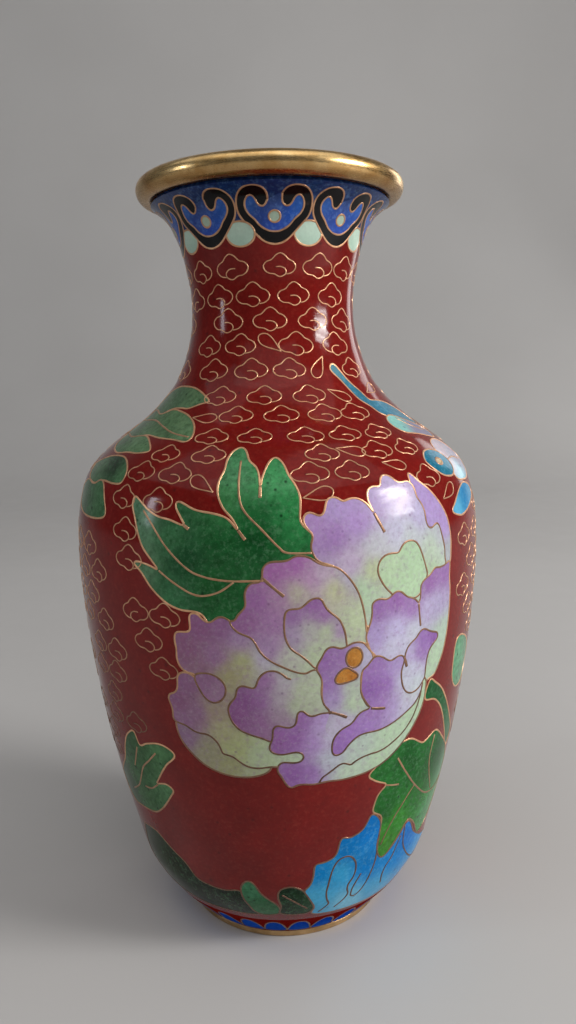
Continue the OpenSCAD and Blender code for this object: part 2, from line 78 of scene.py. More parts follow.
LOWER = [(8, .285), (14, .465), (22, .58), (36, .75), (52, .89), (68, .98), (80, 1)]
UPPER = [(89, .96), (95, .865), (99.5, .68), (104, .43), (110, .19), (117, .055), (125, 0)]
FLARE = [(134, .14), (140, .4), (143.5, .71)]
STATION_Z = np.array([FOOT_EDGE] + [z for z, _ in LOWER + UPPER + FLARE] + [LIP_Z])
STATION_R = np.array(
    [FOOT_R]
    + [FOOT_R + (BELLY_R - FOOT_R) * share for _, share in LOWER]
    + [NECK_R + (BELLY_R - NECK_R) * share for _, share in UPPER]
    + [NECK_R + (LIP_R - NECK_R) * share for _, share in FLARE]
    + [LIP_R])
GAPS = np.diff(STATION_Z)
CHORDS = np.diff(STATION_R) / GAPS
LIP_STEEPER = 1.15
SLOPES = np.concatenate([
    [CHORDS[0]],
    (CHORDS[:-1] * GAPS[1:] + CHORDS[1:] * GAPS[:-1]) / (GAPS[:-1] + GAPS[1:]),
    [CHORDS[-1] * LIP_STEEPER]])


def radius(z):
    """Radius of the enamel's skin at a height: a cubic curve through the stations."""
    z = np.asarray(z, float)
    i = np.clip(np.searchsorted(STATION_Z, z, side="right") - 1, 0, len(GAPS) - 1)
    g = GAPS[i]
    f = (z - STATION_Z[i]) / g
    return (STATION_R[i] * (2 * f**3 - 3 * f**2 + 1) + SLOPES[i] * g * (f**3 - 2 * f**2 + f)
            + STATION_R[i + 1] * (3 * f**2 - 2 * f**3) + SLOPES[i + 1] * g * (f**3 - f**2))


def slope(z):
    return (radius(np.asarray(z, float) + 0.05) - radius(np.asarray(z, float) - 0.05)) / 0.1


def normal(az, z):
    """Unit normals of the skin."""
    a = np.asarray(az, float) * DEG
    m = slope(z)
    n = np.sqrt(1 + m * m)
    return np.stack([np.sin(a) / n, -np.cos(a) / n, -m / n], -1)


def on_skin(az, z, proud=0.0):
    """Points in mm on the skin, or a little above it."""
    a = np.asarray(az, float) * DEG
    r = radius(z)
    base = np.stack([r * np.sin(a), -r * np.cos(a), np.asarray(z, float) + 0 * a], -1)
    return base + normal(az, z) * np.asarray(proud, float)[..., None]


# ---------------------------------------------------------------- curves on the unrolled skin

def flat(points):
    """Millimetres across and up the skin, near enough for lengths."""
    p = np.asarray(points, float)
    return np.stack([p[:, 0] * DEG * radius(p[:, 1]), p[:, 1]], -1)


def curved(points, closed=False, step=0.5):
    """A round curve through the points, sampled about every step mm."""
    p = np.asarray(points, float)
    m = len(p)
    f = flat(p)
    out = []
    spans = m if closed else m - 1
    for i in range(spans):
        if closed:
            a, b, c, d = (p[(i + k) % m] for k in (-1, 0, 1, 2))
        else:
            a, b, c, d = (p[min(max(i + k, 0), m - 1)] for k in (-1, 0, 1, 2))
        n = max(1, int(round(np.linalg.norm(f[(i + 1) % m] - f[i]) / step)))
        for t in np.arange(n) / n:
            out.append(0.5 * (2 * b + (c - a) * t + (2 * a - 5 * b + 4 * c - d) * t**2
                              + (3 * b - a - 3 * c + d) * t**3))
    if not closed:
        out.append(p[-1])
    return np.array(out)


def resampled(points, closed, step, relax=2):
    """The same line with even steps and its small kinks smoothed away; open ends stay put."""
    p = np.asarray(points, float)
    if closed:
        p = np.vstack([p, p[:1]])
    f = flat(p)
    along = np.concatenate([[0], np.cumsum(np.linalg.norm(np.diff(f, axis=0), axis=1))])
    n = max(3 if closed else 1, int(round(along[-1] / step)))
    at = np.linspace(0, along[-1], n + 1)
    q = np.stack([np.interp(at, along, p[:, k]) for k in (0, 1)], -1)
    if closed:
        q = q[:-1]
        for _ in range(relax):
            q = (np.roll(q, 1, 0) + 2 * q + np.roll(q, -1, 0)) / 4
        return q
    for _ in range(relax):
        if len(q) > 2:
            q[1:-1] = (q[:-2] + 2 * q[1:-1] + q[2:]) / 4
    return q


def ring(az, z, half_az, half_z, count=20, turn=0.0):
    """An oval outline; turn tilts it, in degrees."""
    t = np.arange(count) * 2 * math.pi / count
    c, s = math.cos(turn * DEG), math.sin(turn * DEG)
    per_mm = 1 / (float(radius(z)) * DEG)
    x, y = half_az * np.cos(t) / per_mm, half_z * np.sin(t)
    return np.stack([az + (x * c - y * s) * per_mm, z + x * s + y * c], -1)


def inside(points, outline):
    """Which points lie in a closed outline."""
    p, o = np.asarray(points, float), np.asarray(outline, float)
    x, y = p[:, 0:1], p[:, 1:2]
    x0, y0 = o[:, 0], o[:, 1]
    x1, y1 = np.roll(x0, -1), np.roll(y0, -1)
    crossing = ((y0 > y) != (y1 > y)) & (x < (x1 - x0) * (y - y0) / np.where(y1 == y0, 1e-9, y1 - y0) + x0)
    return crossing.sum(1) % 2 == 1


# ---------------------------------------------------------------- colours

def linear(rgb):
    """A colour given as 0 to 255 values of a screen, in linear light."""
    c = np.asarray(rgb, float) / 255
    return np.where(c <= 0.04045, c / 12.92, ((c + 0.055) / 1.055) ** 2.4)


MAUVE = (158, 108, 170)
LAVENDER = (176, 152, 206)
MIST = (200, 198, 222)
MINT = (180, 206, 172)
CREAM = (186, 192, 152)
OLIVE = (168, 168, 122)
RED = (124, 24, 20)
COBALT = (28, 58, 118)
INK = (14, 12, 14)
GREEN = (40, 116, 62)
DEEP_GREEN = (22, 88, 44)
FRESH_GREEN = (66, 150, 58)
SAGE = (112, 148, 112)
ORANGE = (205, 138, 58)
ROSE = (206, 134, 160)

# ---------------------------------------------------------------- the cells, from the back to the front

CELLS = []      # each: its node, its outline, colour seeds, the window in which its edge has no wire
LINES = []      # open wires: node, points, width
WIRE_W = 0.34
WIRE_STEP = 0.35
WALL_WIRE = {"peony_petals": "peony_wires", "peony_stamens": "peony_wires", "leaves": "leaf_wires",
             "blue_flower": "blue_flower_wires", "butterfly": "butterfly_wires",
             "rear_blossom": "rear_blossom_wires", "foot_scallops": "foot_wires",
             "ruyi_bands": "collar_wires", "ruyi_hearts": "collar_wires", "ruyi_dots": "collar_wires",
             "collar_drops": "collar_wires", "collar_enamel": "collar_wires"}
GROUNDS = ("border_ground", "body_ground", "neck_ground")


def cell(node, outline, seeds, bare=None, smooth=True):
    """A cell of enamel. Seeds are (az, z, colour); bare is a window (az0, az1, z0, z1) with no edge wire."""
    shape = curved(outline, closed=True) if smooth else np.asarray(outline, float)
    CELLS.append({"node": node, "outline": shape, "seeds": seeds, "bare": bare})


def wire(node, *lines, width=WIRE_W):
    """Open wires, each a round curve through its points."""
    for points in lines:
        LINES.append((node, curved(points, step=WIRE_STEP), width))


def band(node, z0, z1, colour):
    """A field all the way round, with points along its edges."""
    az = np.arange(SEAM - 12, SEAM + 372.1, 2.0)
    low = [(a, z0) for a in az]
    high = [(a, z1) for a in az[::-1]]
    cell(node, low + high, [(0, z0, colour)], smooth=False)


def draw_grounds():
    band("border_ground", FOOT_EDGE - 0.5, BORDER_Z, RED)
    band("body_ground", BORDER_Z, JOINT_Z, RED)
    band("neck_ground", JOINT_Z, COLLAR_Z, RED)
    band("collar_enamel", COLLAR_Z, LIP_Z + 0.5, COBALT)


def draw_spray():
    """The dark leaf behind the peony, with its three lobes."""
    cell("leaves",
         [(-38.8, 92.3), (-36.5, 91.5), (-33, 90), (-30, 89.2), (-26.5, 88.8), (-22.6, 88), (-23.6, 89.2),
          (-25.4, 91), (-25, 91.9), (-23, 91.5), (-20, 90.6), (-14.5, 90), (-11.5, 89.2), (-9.2, 87.4),
          (-10.6, 89.3), (-13, 91), (-14.7, 93.5), (-14.6, 95.5), (-13.8, 96.8), (-13.8, 98.5),
          (-12.5, 99.8), (-10, 100.3), (-8.5, 99.5), (-7.5, 98.2), (-5.4, 97.3), (-4.4, 95.8), (-4.1, 94.2),
          (-3.6, 95.8), (-2, 98), (0, 98.7), (2, 97.6), (3, 96), (4.5, 94.5), (5.5, 92.5), (5.2, 89),
          (6, 88), (11, 84), (9, 80), (0, 76), (-8, 70), (-15, 69.6), (-18.5, 73.3), (-24, 73.8),
          (-28, 74.8), (-32, 77), (-35, 79.5), (-37.6, 80.9), (-36, 81.3), (-32, 80.8), (-29.8, 80.3),
          (-32, 82), (-34.4, 83.8), (-36, 86), (-37.5, 88.5), (-39, 90.5)],
         [(-10, 97, (92, 164, 110)), (-12.6, 92, (70, 142, 84)), (-1, 95.5, (76, 168, 102)),
          (3, 90, (52, 142, 78)), (-12, 85, (36, 104, 54)), (-6, 88.6, (34, 110, 56)),
          (-5, 85.6, (24, 88, 42)), (-25, 86.6, (70, 128, 84)), (-22, 82.5, (38, 100, 58)),
          (-35, 88, (112, 156, 122)), (-25, 77, (66, 128, 84)), (-11, 76, (40, 112, 58)),
          (-36, 80.7, (112, 152, 116)), (-15, 78, (34, 104, 50))])
    wire("leaf_wires", [(-35, 90), (-32, 88), (-27, 84), (-22, 81), (-18, 79.8), (-12, 79.2), (-3.6, 79.3)],
         [(-29.6, 80.2), (-27, 79), (-24, 77.8), (-21, 76.8), (-18, 76.5), (-14, 77.3), (-10.5, 79)],
         [(-9.8, 98.2), (-9.2, 93), (-7.8, 90.5), (-4, 87.8), (0, 84.8), (2, 83.8), (7.6, 83.6)])
    wire("leaf_wires", [(-22.8, 88.1), (-21.4, 87.5)], width=0.55)
    wire("leaf_wires", [(-9.2, 87.5), (-7.6, 86)], [(-4.1, 94.4), (-4.1, 92.6)], width=0.5)


def draw_upper_left_leaves():
    cell("leaves",
         [(-31.5, 107.8), (-36, 108.8), (-40, 109.5), (-46, 110.2), (-54, 110.5), (-64, 110.4), (-74, 109.4),
          (-80, 107.6), (-74, 105), (-64, 104.6), (-54, 106.3), (-47, 106.6), (-42, 106.5), (-36, 107.3)],
         [(-36, 108, (116, 150, 108)), (-60, 108, (98, 132, 96))])
    cell("leaves",
         [(-29.5, 101.5), (-30, 102.5), (-33, 104), (-38, 105.2), (-44, 105.9), (-52, 106.3), (-60, 105.4),
          (-72, 106), (-79, 103.4), (-74, 101), (-62, 100.6), (-54, 101.8), (-44, 101.5), (-36, 101.3),
          (-31, 101)], [(-33, 103, (120, 156, 112)), (-50, 104, (104, 142, 98)), (-70, 103, (96, 132, 92))])
    wire("leaf_wires", [(-31, 101.8), (-40, 102.4), (-50, 103.5), (-60, 104.3), (-76, 104)])
    cell("leaves",
         [(-42.5, 99.4), (-45, 100.3), (-49, 101.2), (-54, 101.7), (-64, 101.3), (-74, 101.6), (-72, 99.8),
          (-62, 98.6), (-54, 98.9), (-48, 98.9)], [(-48, 100, (118, 158, 112)), (-66, 100, (98, 138, 96))])
    cell("leaves",
         [(-45.5, 95.2), (-46.5, 96.3), (-50, 97.6), (-55, 98.2), (-64, 97.8), (-74, 96), (-70, 94),
          (-62, 93.2), (-56, 94), (-50, 93.8), (-46, 94)],
         [(-48, 95, (96, 140, 98)), (-54, 96.8, (40, 62, 44)), (-66, 96, (92, 132, 94))])
    cell("leaves",
         [(-50, 88.5), (-52, 91), (-54.5, 93.4), (-57.5, 94), (-62, 93.1), (-70, 93.4), (-78, 91),
          (-74, 88.8), (-66, 87.4), (-58, 87.2), (-52, 87.6)],
         [(-54, 90, (84, 128, 88)), (-68, 90, (76, 118, 82))])


def draw_lower_left_leaves():
    cell("leaves",
         [(-46.8, 47.4), (-49.5, 46.7), (-52.5, 45), (-55, 42.5), (-58, 39), (-62, 36.6), (-68, 33),
          (-66, 30), (-60, 28.6), (-56, 29), (-50, 29.5), (-45, 30.2), (-41, 32), (-38, 34), (-35.5, 36),
          (-34, 37.4), (-36.5, 38.3), (-40, 37.7), (-41, 37.5), (-39.5, 38.8), (-37, 41), (-34.5, 43),
          (-32, 44.4), (-31, 45.6), (-33.5, 46.6), (-37, 46.8), (-42, 45.8), (-45.2, 44.8)],
         [(-35, 45, (92, 142, 92)), (-44, 42, (74, 122, 74)), (-50, 44, (66, 108, 66)),
          (-38, 36.6, (88, 138, 90)), (-48, 34, (70, 116, 70)), (-60, 32, (52, 86, 52))])
    wire("leaf_wires", [(-38.5, 44.5), (-42, 42.3), (-46, 40), (-49, 37), (-52, 34.5), (-57, 32.5)],
         [(-47, 44), (-49, 41.5), (-51, 39.2)], [(-40.5, 37.4), (-44, 35.8), (-47.5, 35.4)])


def draw_foot_leaves():
    cell("leaves",
         [(-60, 23), (-57, 24), (-52, 24.6), (-48, 24.3), (-42, 22), (-37, 20.2), (-33, 17.4), (-28, 16.6),
          (-22, 16.3), (-16, 16.8), (-12, 14), (-10, 10.4), (-24, 9.8), (-40, 9.8), (-56, 11), (-64, 16)],
         [(-50, 20, (34, 48, 18)), (-36, 14, (20, 34, 14)), (-18, 13, (18, 34, 18))])
    cell("leaves",
         [(-12.5, 19.6), (-10.6, 18.6), (-9, 16.8), (-6, 15), (-4, 14), (-2.5, 12.5), (-3, 10.8), (-8, 10.1),
          (-12, 10.8), (-14, 13), (-15.5, 15), (-15.8, 17.5), (-14.5, 19)],
         [(-13, 18, (76, 146, 104)), (-8, 13, (56, 122, 76)), (-4, 12, (52, 114, 72))])
    cell("leaves",
         [(-2.5, 17.5), (0, 18.3), (3, 18.2), (6, 17), (8, 15), (10, 12), (8, 10.4), (3, 10.2), (0, 10.3),
          (-3, 11), (-2, 13), (-3, 15.5)], [(2, 15, (14, 46, 22)), (8, 13, (20, 66, 34))])
    wire("leaf_wires", [(-1.6, 16.4), (2.4, 14.6), (7.6, 12)])


def draw_right_leaf():
    cell("leaves",
         [(43.4, 57), (46, 56), (50, 54), (54, 51), (60, 46), (66, 41), (63, 38), (58, 43), (52, 49.2),
          (47, 52.3), (42, 53.4)], [(48, 54, (24, 98, 48)), (60, 44, (30, 104, 56))])
    cell("leaves", [(56, 62), (60, 62.6), (68, 60), (74, 55), (70, 51.6), (62, 51.4), (57, 54), (55.6, 58)],
         [(60, 58, (104, 172, 128)), (70, 56, (96, 164, 120))])
    cell("leaves",
         [(24.6, 41.6), (26, 40), (28.5, 39), (31, 38.2), (29.6, 37.2), (28.3, 36.3), (27.5, 34.5),
          (27.3, 32.8), (29, 32), (31, 31), (31.5, 28), (31.6, 24), (33.5, 20.8), (36, 20.6), (39, 22.5),
          (42, 24.8), (43.5, 26.3), (45.5, 26.8), (50, 24.5), (56, 20.5), (64, 22), (72, 28), (70, 33),
          (64, 38), (57, 42), (51, 45), (47, 44.4), (44, 44), (39, 46), (36, 46.2), (33, 45.6)],
         [(29, 41, (40, 124, 50)), (34, 24, (66, 148, 34)), (42, 40, (12, 100, 30)), (31, 34, (30, 114, 40)),
          (48, 30, (30, 128, 38)), (55, 39, (8, 86, 28)), (58, 25, (70, 160, 90)), (67, 33, (60, 150, 90)),
          (40, 28, (48, 138, 34)), (45, 43, (22, 116, 42))])
    wire("leaf_wires", [(31, 37.9), (33.4, 37.4), (36, 37)],
         [(34, 43), (38, 39.4), (44, 35), (52, 31), (60, 29.6), (68, 30)],
         [(33, 24), (36, 28.6), (41, 33), (44, 35)], [(50.6, 44), (50, 39.6), (52, 35.6), (56.6, 30.6)])


def draw_blue_flower():
    cell("blue_flower",
         [(10.8, 9.6), (10.3, 12), (9, 13.8), (7, 16), (6, 17.2), (8, 18.4), (9, 20.5), (9.4, 23.2),
          (11, 23.4), (14, 23.8), (16.3, 25), (17, 27.5), (17.8, 28.6), (20, 28.2), (22, 28.5), (24.5, 29.3),
          (26, 31), (26.8, 32.2), (28.5, 32), (30.2, 30.8), (31.3, 29.5), (31.5, 28), (31.5, 24), (33, 21.5),
          (35, 20.5), (37, 21), (39.5, 22.3), (42, 24.2), (44, 26), (46, 26.3), (48, 25), (52, 22), (60, 19),
          (68, 17.4), (76, 14.6), (80, 11.4), (72, 9.4), (50, 8.9), (30, 8.9)],
         [(26, 29, (6, 116, 196)), (20, 26, (8, 122, 198)), (18, 20, (56, 158, 208)),
          (12, 15, (74, 170, 214)), (12, 21, (12, 128, 198)), (28, 20, (8, 120, 194)),
          (24, 12, (130, 198, 226)), (36, 12, (76, 166, 212)), (46, 22, (8, 108, 192)),
          (56, 13, (56, 146, 204)), (40, 20, (16, 126, 198)), (70, 14, (60, 150, 208))])
    wire("blue_flower_wires",
         [(12.4, 10.2), (14.6, 11.6), (15.6, 12.6), (14.6, 14), (14, 16), (14.6, 18.5), (15.4, 21),
          (16.8, 23), (18.8, 23.8), (21.5, 23.6), (23.6, 22), (24.2, 20.2), (23.6, 18.4), (22, 16.8),
          (22, 15.4), (22.6, 14.4), (21.6, 12.8), (18.5, 10.8)],
         [(26.6, 18.6), (24.8, 16.6), (23.9, 14.8), (24.4, 13.2), (26.4, 13), (28.4, 14.4), (30.6, 17.4),
          (32, 20.6), (31.8, 24), (31.5, 27)],
         [(38, 13.4), (37, 15.6), (37.8, 17.6), (40.5, 19.6), (43, 23.6)],
         [(44, 25.6), (46, 20.6), (52, 16.4), (60, 13.8), (68, 13.6)])


def draw_butterfly():
    cell("butterfly",
         [(33, 113.3), (34.5, 114.1), (37, 114.1), (40, 112.9), (44, 110.7), (48, 109), (50.5, 107.4),
          (56, 107.2), (64, 106.6), (72, 105), (76, 102.6), (66, 102.4), (56, 103.6), (52, 104.4), (49, 105),
          (47, 106.2), (43, 107.5), (41, 109), (38, 111), (34, 112.6)],
         [(36, 113.6, (96, 144, 158)), (44, 109, (58, 118, 140)), (54, 105.4, (64, 124, 150)),
          (66, 104.6, (92, 136, 156))])
    cell("butterfly",
         [(50, 103.9), (56, 104.4), (64, 103.4), (74, 101.6), (72, 99.8), (60, 100.8), (52, 101.4),
          (49, 102.6)], [(52, 102.6, (146, 204, 194)), (66, 101.8, (150, 142, 168))])
    cell("butterfly", [(59, 98.4), (66, 99.6), (74, 98.6), (80, 95.6), (74, 92.6), (66, 92), (59, 93.2)],
         [(62, 97, (206, 190, 200)), (72, 96, (200, 186, 204)), (66, 92.6, (150, 206, 220))])
    cell("butterfly",
         [(47.3, 96.6), (49.5, 97.8), (53, 98.2), (57, 98), (60.4, 97), (61, 95), (58, 93.5), (54, 93.5),
          (51, 94.1), (48.4, 95.4)],
         [(50, 96.4, (28, 108, 136)), (58, 96.6, (34, 120, 150)), (54, 94.4, (40, 116, 140))])
    cell("butterfly", ring(54.4, 96.1, 1.9, 0.62, 12), [(54, 96, (196, 166, 120))])
    cell("butterfly",
         [(51.5, 87.3), (54, 88.7), (57, 90.1), (60, 91.1), (64, 91.6), (70, 90.6), (72, 89), (66, 87.4),
          (60, 86.4), (56, 86.2)],
         [(54, 87.4, (96, 176, 212)), (62, 89.4, (40, 130, 184)), (70, 89.4, (60, 150, 196))])
    wire("butterfly_wires", [(57.6, 103.8), (63, 102.2), (70, 101.2)], [(61, 96), (67, 96.2), (74, 95.4)])


def draw_peony():
    p = "peony_petals"
    # outer
    cell(p, [(36.6, 94.3), (40, 93.4), (43, 91.8), (46, 89.5), (48.3, 86.6), (49.4, 83), (49.2, 80),
             (48.6, 78.4), (44, 77), (38, 80)],
         [(42, 91, LAVENDER), (47, 86, LAVENDER), (47.6, 80, (170, 176, 180))])
    # upper
    cell(p, [(8.3, 82.9), (7.6, 84), (7.5, 85), (8, 86), (7.9, 86.7), (6.8, 87.5), (6, 88.5), (6, 89.3),
             (6.7, 90), (7.8, 90.1), (9, 89.7), (10, 89.4), (10.8, 89.7), (11.3, 90.6), (11.8, 91.8),
             (12.8, 92.3), (14.5, 92.2), (15.9, 91.5), (17.5, 91.9), (19.5, 91.9), (21.5, 91.2),
             (22.8, 90.2), (23.7, 89.2), (23, 90.4), (22.5, 91.2), (22.4, 92.3), (23.2, 93.3), (25, 93.6),
             (26.6, 93.4), (27.3, 94.6), (28.5, 95.2), (30.5, 94.9), (32, 94), (33.5, 93.7), (35.5, 93.9),
             (36.8, 93.3), (37.4, 92.2), (37.5, 91), (38.6, 90), (39.4, 88.5), (39.3, 87.3), (39.7, 86),
             (40.5, 85.5), (41.5, 85.4), (42.5, 85.9), (43.7, 86.1), (44.5, 85.4), (45.2, 84), (46, 82.3),
             (46.4, 81), (46.3, 79.5), (46.4, 78.2), (40, 74), (30, 70), (20.5, 70.5), (19, 75), (14, 80.5),
             (9.5, 82)],
         [(8, 88, (172, 138, 192)), (13, 86, (164, 128, 186)), (14, 91, (176, 152, 204)),
          (19, 88, (176, 146, 202)), (26, 91, (190, 172, 214)), (33, 91.5, (196, 178, 216)),
          (37, 88, (190, 182, 216)), (30, 86, MIST), (23, 80, (186, 198, 156)), (20, 76.5, MINT),
          (24, 84, (196, 198, 206)), (41, 82, (182, 200, 178)), (33, 85, (196, 204, 206)),
          (40, 78, (176, 200, 164)), (17, 81.5, (190, 172, 200)), (44, 84, (184, 190, 196))])
    wire("peony_wires", [(23.7, 89.3), (24.7, 87.8), (26, 86)], width=0.55)
    # curl
    cell(p, [(27.3, 75.6), (26, 76.5), (24.7, 77.8), (23.8, 79.3), (23.9, 80.6), (24.8, 81.6), (26.2, 82.2),
             (28, 82.3), (29.8, 82.2), (30.5, 83), (31.5, 83.7), (33, 84), (34.8, 83.8), (36, 83.1),
             (37, 81.8), (38, 80), (38.7, 78.5), (39, 77.2), (36, 74), (30, 74)],
         [(27, 80, (184, 210, 172)), (34, 81, (176, 206, 168)), (33, 77, (180, 210, 170))])
    # left
    cell(p, [(-21.6, 73.2), (-19.7, 73.4), (-18.5, 72.5), (-17, 71.9), (-15.8, 72.3), (-14.5, 73), (-13, 73),
             (-11.9, 72.5), (-9, 71.5), (-4, 70), (4, 68), (9, 66), (9.5, 62), (6, 58), (-4, 56), (-12, 56),
             (-18, 59), (-21.5, 62.3), (-23, 62.5), (-24.8, 63), (-25.8, 64), (-26.2, 65.2), (-26, 66.6),
             (-26.3, 68), (-26.2, 69.2), (-25.5, 69.8), (-23.8, 69.9), (-21.9, 70.2), (-21.8, 71.8)],
         [(-23, 67, (150, 98, 134)), (-19, 71, (152, 98, 142)), (-14, 71, (154, 104, 152)),
          (-16, 66, (160, 116, 158)), (-10, 69.4, (170, 138, 176)), (-9, 65, (176, 178, 128)),
          (-13, 62.6, (170, 164, 122)), (-4, 66, (192, 184, 202)), (0, 63, (186, 192, 178)),
          (5, 62, (182, 196, 168)), (-20, 64, (156, 116, 140))])
    # bottom left
    cell(p, [(-28.8, 52.3), (-28.7, 51), (-28, 49.4), (-26.5, 47.8), (-24.5, 46.4), (-22, 45), (-19, 44),
             (-16, 43.4), (-12.5, 43.1), (-9, 43.2), (-6, 43.7), (-4, 44.4), (-3.2, 45.2), (-4, 47),
             (-10, 48), (-16, 50.5), (-24, 53.6), (-28, 53.4)],
         [(-26, 50, (150, 118, 146)), (-20, 47.6, (160, 156, 126)), (-14, 45.4, (166, 166, 122)),
          (-8, 44, (176, 184, 146))])
    # left low
    cell(p, [(-26.4, 61.8), (-24.8, 62.5), (-23, 62.4), (-21.6, 61.8), (-18, 60.6), (-14, 60), (-11, 58),
             (-6, 54), (-2, 50), (6, 49), (6.4, 45.8), (0, 45.4), (-3, 45.4), (-4.3, 45.3), (-6, 45.1),
             (-8, 45.1), (-10, 45.5), (-11.5, 46.2), (-13, 47), (-14.5, 47.4), (-16, 47.5), (-16.3, 48.3),
             (-17, 49.5), (-18.3, 50.5), (-20, 51.1), (-22, 51.1), (-23.8, 51.4), (-25.5, 52.1), (-27, 52.4),
             (-28.8, 52.6), (-29.6, 53.4), (-29.3, 54.5), (-29.6, 55.8), (-30.2, 57), (-29.6, 57.9),
             (-28, 58.3), (-27, 59.2), (-26.8, 60.3)],
         [(-27, 57, (146, 94, 132)), (-25, 60, (150, 104, 142)), (-22, 55, (154, 114, 146)),
          (-17, 56, (168, 152, 132)), (-15, 52, (178, 176, 134)), (-12, 48.6, (180, 188, 134)),
          (-6, 47.6, (182, 198, 160)), (4, 47.2, (184, 202, 170)), (-26, 53.4, (152, 112, 146))],
         bare=(-14.8, -9, 55.5, 61.5))
    # small curl
    cell(p, [(-21.5, 62.4), (-20, 62.7), (-18, 62.8), (-16, 62.4), (-14.4, 61.5), (-13.7, 60.3), (-14, 59),
             (-15, 58), (-16.5, 57.4), (-18, 57.5), (-19.5, 58.3), (-20.5, 59.5), (-21.2, 60.5),
             (-21.7, 61.5)],
         [(-19, 60.6, (156, 112, 150)), (-16, 59.6, (164, 128, 156))])
    # heart
    cell(p, [(-3.8, 80.2), (-3.8, 81.1), (-3, 82), (-1.5, 82.4), (0.5, 82.4), (2.3, 82.6), (3.7, 83.2),
             (5.5, 83.2), (7.3, 82.8), (9, 81.9), (11, 81.4), (13, 81.1), (15, 80.1), (17, 78.4),
             (18.5, 76.6), (19.5, 74.7), (20.4, 72), (20.8, 69.8), (20.8, 67), (14, 62), (8.2, 63.6),
             (6.2, 63), (4.5, 63.1), (2.5, 63.6), (0.5, 64.3), (-1.5, 65), (-3.5, 66), (-5, 67.2),
             (-5.9, 68.6), (-6.8, 69.5), (-8, 69.9), (-9.8, 70.4), (-11, 71.2), (-11.9, 72.4), (-10.6, 72.4),
             (-10, 73.2), (-9.2, 73.9), (-8.2, 74.6), (-7.8, 75.4), (-8, 76.5), (-7.8, 77.6), (-7, 78.6),
             (-5.8, 79), (-4.5, 79), (-3.9, 79.5)],
         [(-1, 80.6, (164, 104, 166)), (4, 81.6, (164, 102, 168)), (7, 79.6, (178, 140, 178)),
          (10, 80, (188, 168, 190)), (-5, 76, (158, 106, 164)), (-8, 72.4, (156, 104, 156)),
          (-2, 72, (168, 124, 172)), (0, 76.6, (170, 130, 168)), (4, 77, (184, 180, 160)),
          (13, 77.4, (190, 194, 154)), (18, 72, (190, 204, 168)), (-3, 68, (172, 140, 180)),
          (3, 66, (188, 192, 176)), (8, 64.6, (186, 200, 168)), (16, 79, (178, 170, 190))])
    wire("peony_wires", [(-3.8, 79.7), (-1.5, 78.2), (1, 76.6)], width=0.5)
    # right
    cell(p, [(22.9, 65.2), (22, 66), (21.3, 67.2), (20.8, 68.3), (21.2, 69.5), (22, 71), (22.3, 72.5),
             (22.2, 74), (23, 74.6), (24.5, 74.8), (26, 74.5), (27.3, 74.8), (28.5, 75.5), (29.8, 75.6),
             (31, 75.1), (32.3, 74.3), (34, 73.9), (35.3, 73.4), (36.3, 72.6), (36.9, 74), (36.7, 75.2),
             (37.2, 76.2), (38.5, 76.8), (40.3, 77.3), (42, 78.3), (44, 78.1), (46.5, 78.3), (48.6, 78.7),
             (48.5, 76), (49.2, 73), (49.4, 69.5), (49.2, 66), (48.4, 62.5), (47, 60), (45, 57.8),
             (42, 57.2), (39, 56), (30, 60)],
         [(24, 73, (150, 108, 172)), (29.5, 73.6, (152, 104, 172)), (34, 72, (158, 118, 180)),
          (24, 68.6, (178, 158, 208)), (30, 69, (192, 184, 222)), (29, 66, MIST),
          (35, 67.6, (198, 202, 216)), (40, 75.6, (150, 104, 168)), (46, 76.6, (152, 112, 172)),
          (44, 71.6, (178, 168, 204)), (40, 71.6, (188, 178, 214)), (47, 66, (178, 200, 180)),
          (46, 61, (178, 204, 172)), (42, 62, (176, 202, 170))])
    wire("peony_wires", [(36.3, 72.6), (36.8, 70.5), (37.4, 68.3)], width=0.42)
    # inner
    cell(p, [(8.3, 63.8), (6.6, 65), (4.6, 66.3), (2.4, 67.5), (1.2, 69.3), (0.9, 71), (1, 72.8), (1.3, 74),
             (2, 74.4), (3.5, 74.4), (4.8, 74.5), (6, 75.2), (7.2, 75.9), (8.5, 76.1), (9.6, 75.9),
             (10.2, 75), (11, 74), (12.5, 73), (13.8, 72.2), (14.8, 70.9), (15.5, 69.3), (15.8, 67.6),
             (15.8, 66), (12, 64)],
         [(3, 73, (154, 112, 166)), (8, 75, (150, 100, 164)), (10, 73, (156, 110, 168)),
          (3, 70, (168, 148, 178)), (7, 70.6, (182, 182, 176)), (11, 70, (184, 200, 162)),
          (9, 66.6, (184, 200, 164)), (14, 70, (164, 132, 176)), (14, 67.4, (184, 194, 170))])
    # middle
    cell(p, [(-3.6, 50.5), (-5, 51), (-7, 51.4), (-9, 51.9), (-11, 52.6), (-12.5, 53.8), (-13.3, 55.2),
             (-13.5, 56.5), (-12.8, 57.6), (-11.5, 58.6), (-11.1, 59.8), (-10.6, 60.6), (-9.5, 60.9),
             (-8, 60.7), (-6.6, 60.4), (-6.1, 61), (-5.7, 62), (-4.7, 63), (-3.4, 63.6), (-2, 63.7),
             (-0.5, 63.4), (0.8, 62.7), (1.8, 62.1), (5, 62.6), (8.4, 63.4), (9.8, 61.5), (9.8, 58.6),
             (12, 55.4), (6, 52), (0, 50)],
         [(-9, 58, (142, 88, 146)), (-11, 55, (146, 92, 146)), (-5, 58.4, (150, 100, 158)),
          (-4, 61.6, (160, 116, 166)), (-6, 54, (150, 104, 152)), (-1, 58.6, (172, 160, 172)),
          (1, 61.6, (184, 178, 186)), (5, 60, (182, 194, 164)), (4, 57, (178, 190, 160)),
          (0, 54.6, (162, 140, 160)), (-1.6, 52, (152, 112, 150)), (9, 60, (184, 198, 168))],
         bare=(2.4, 9.6, 61.2, 64))
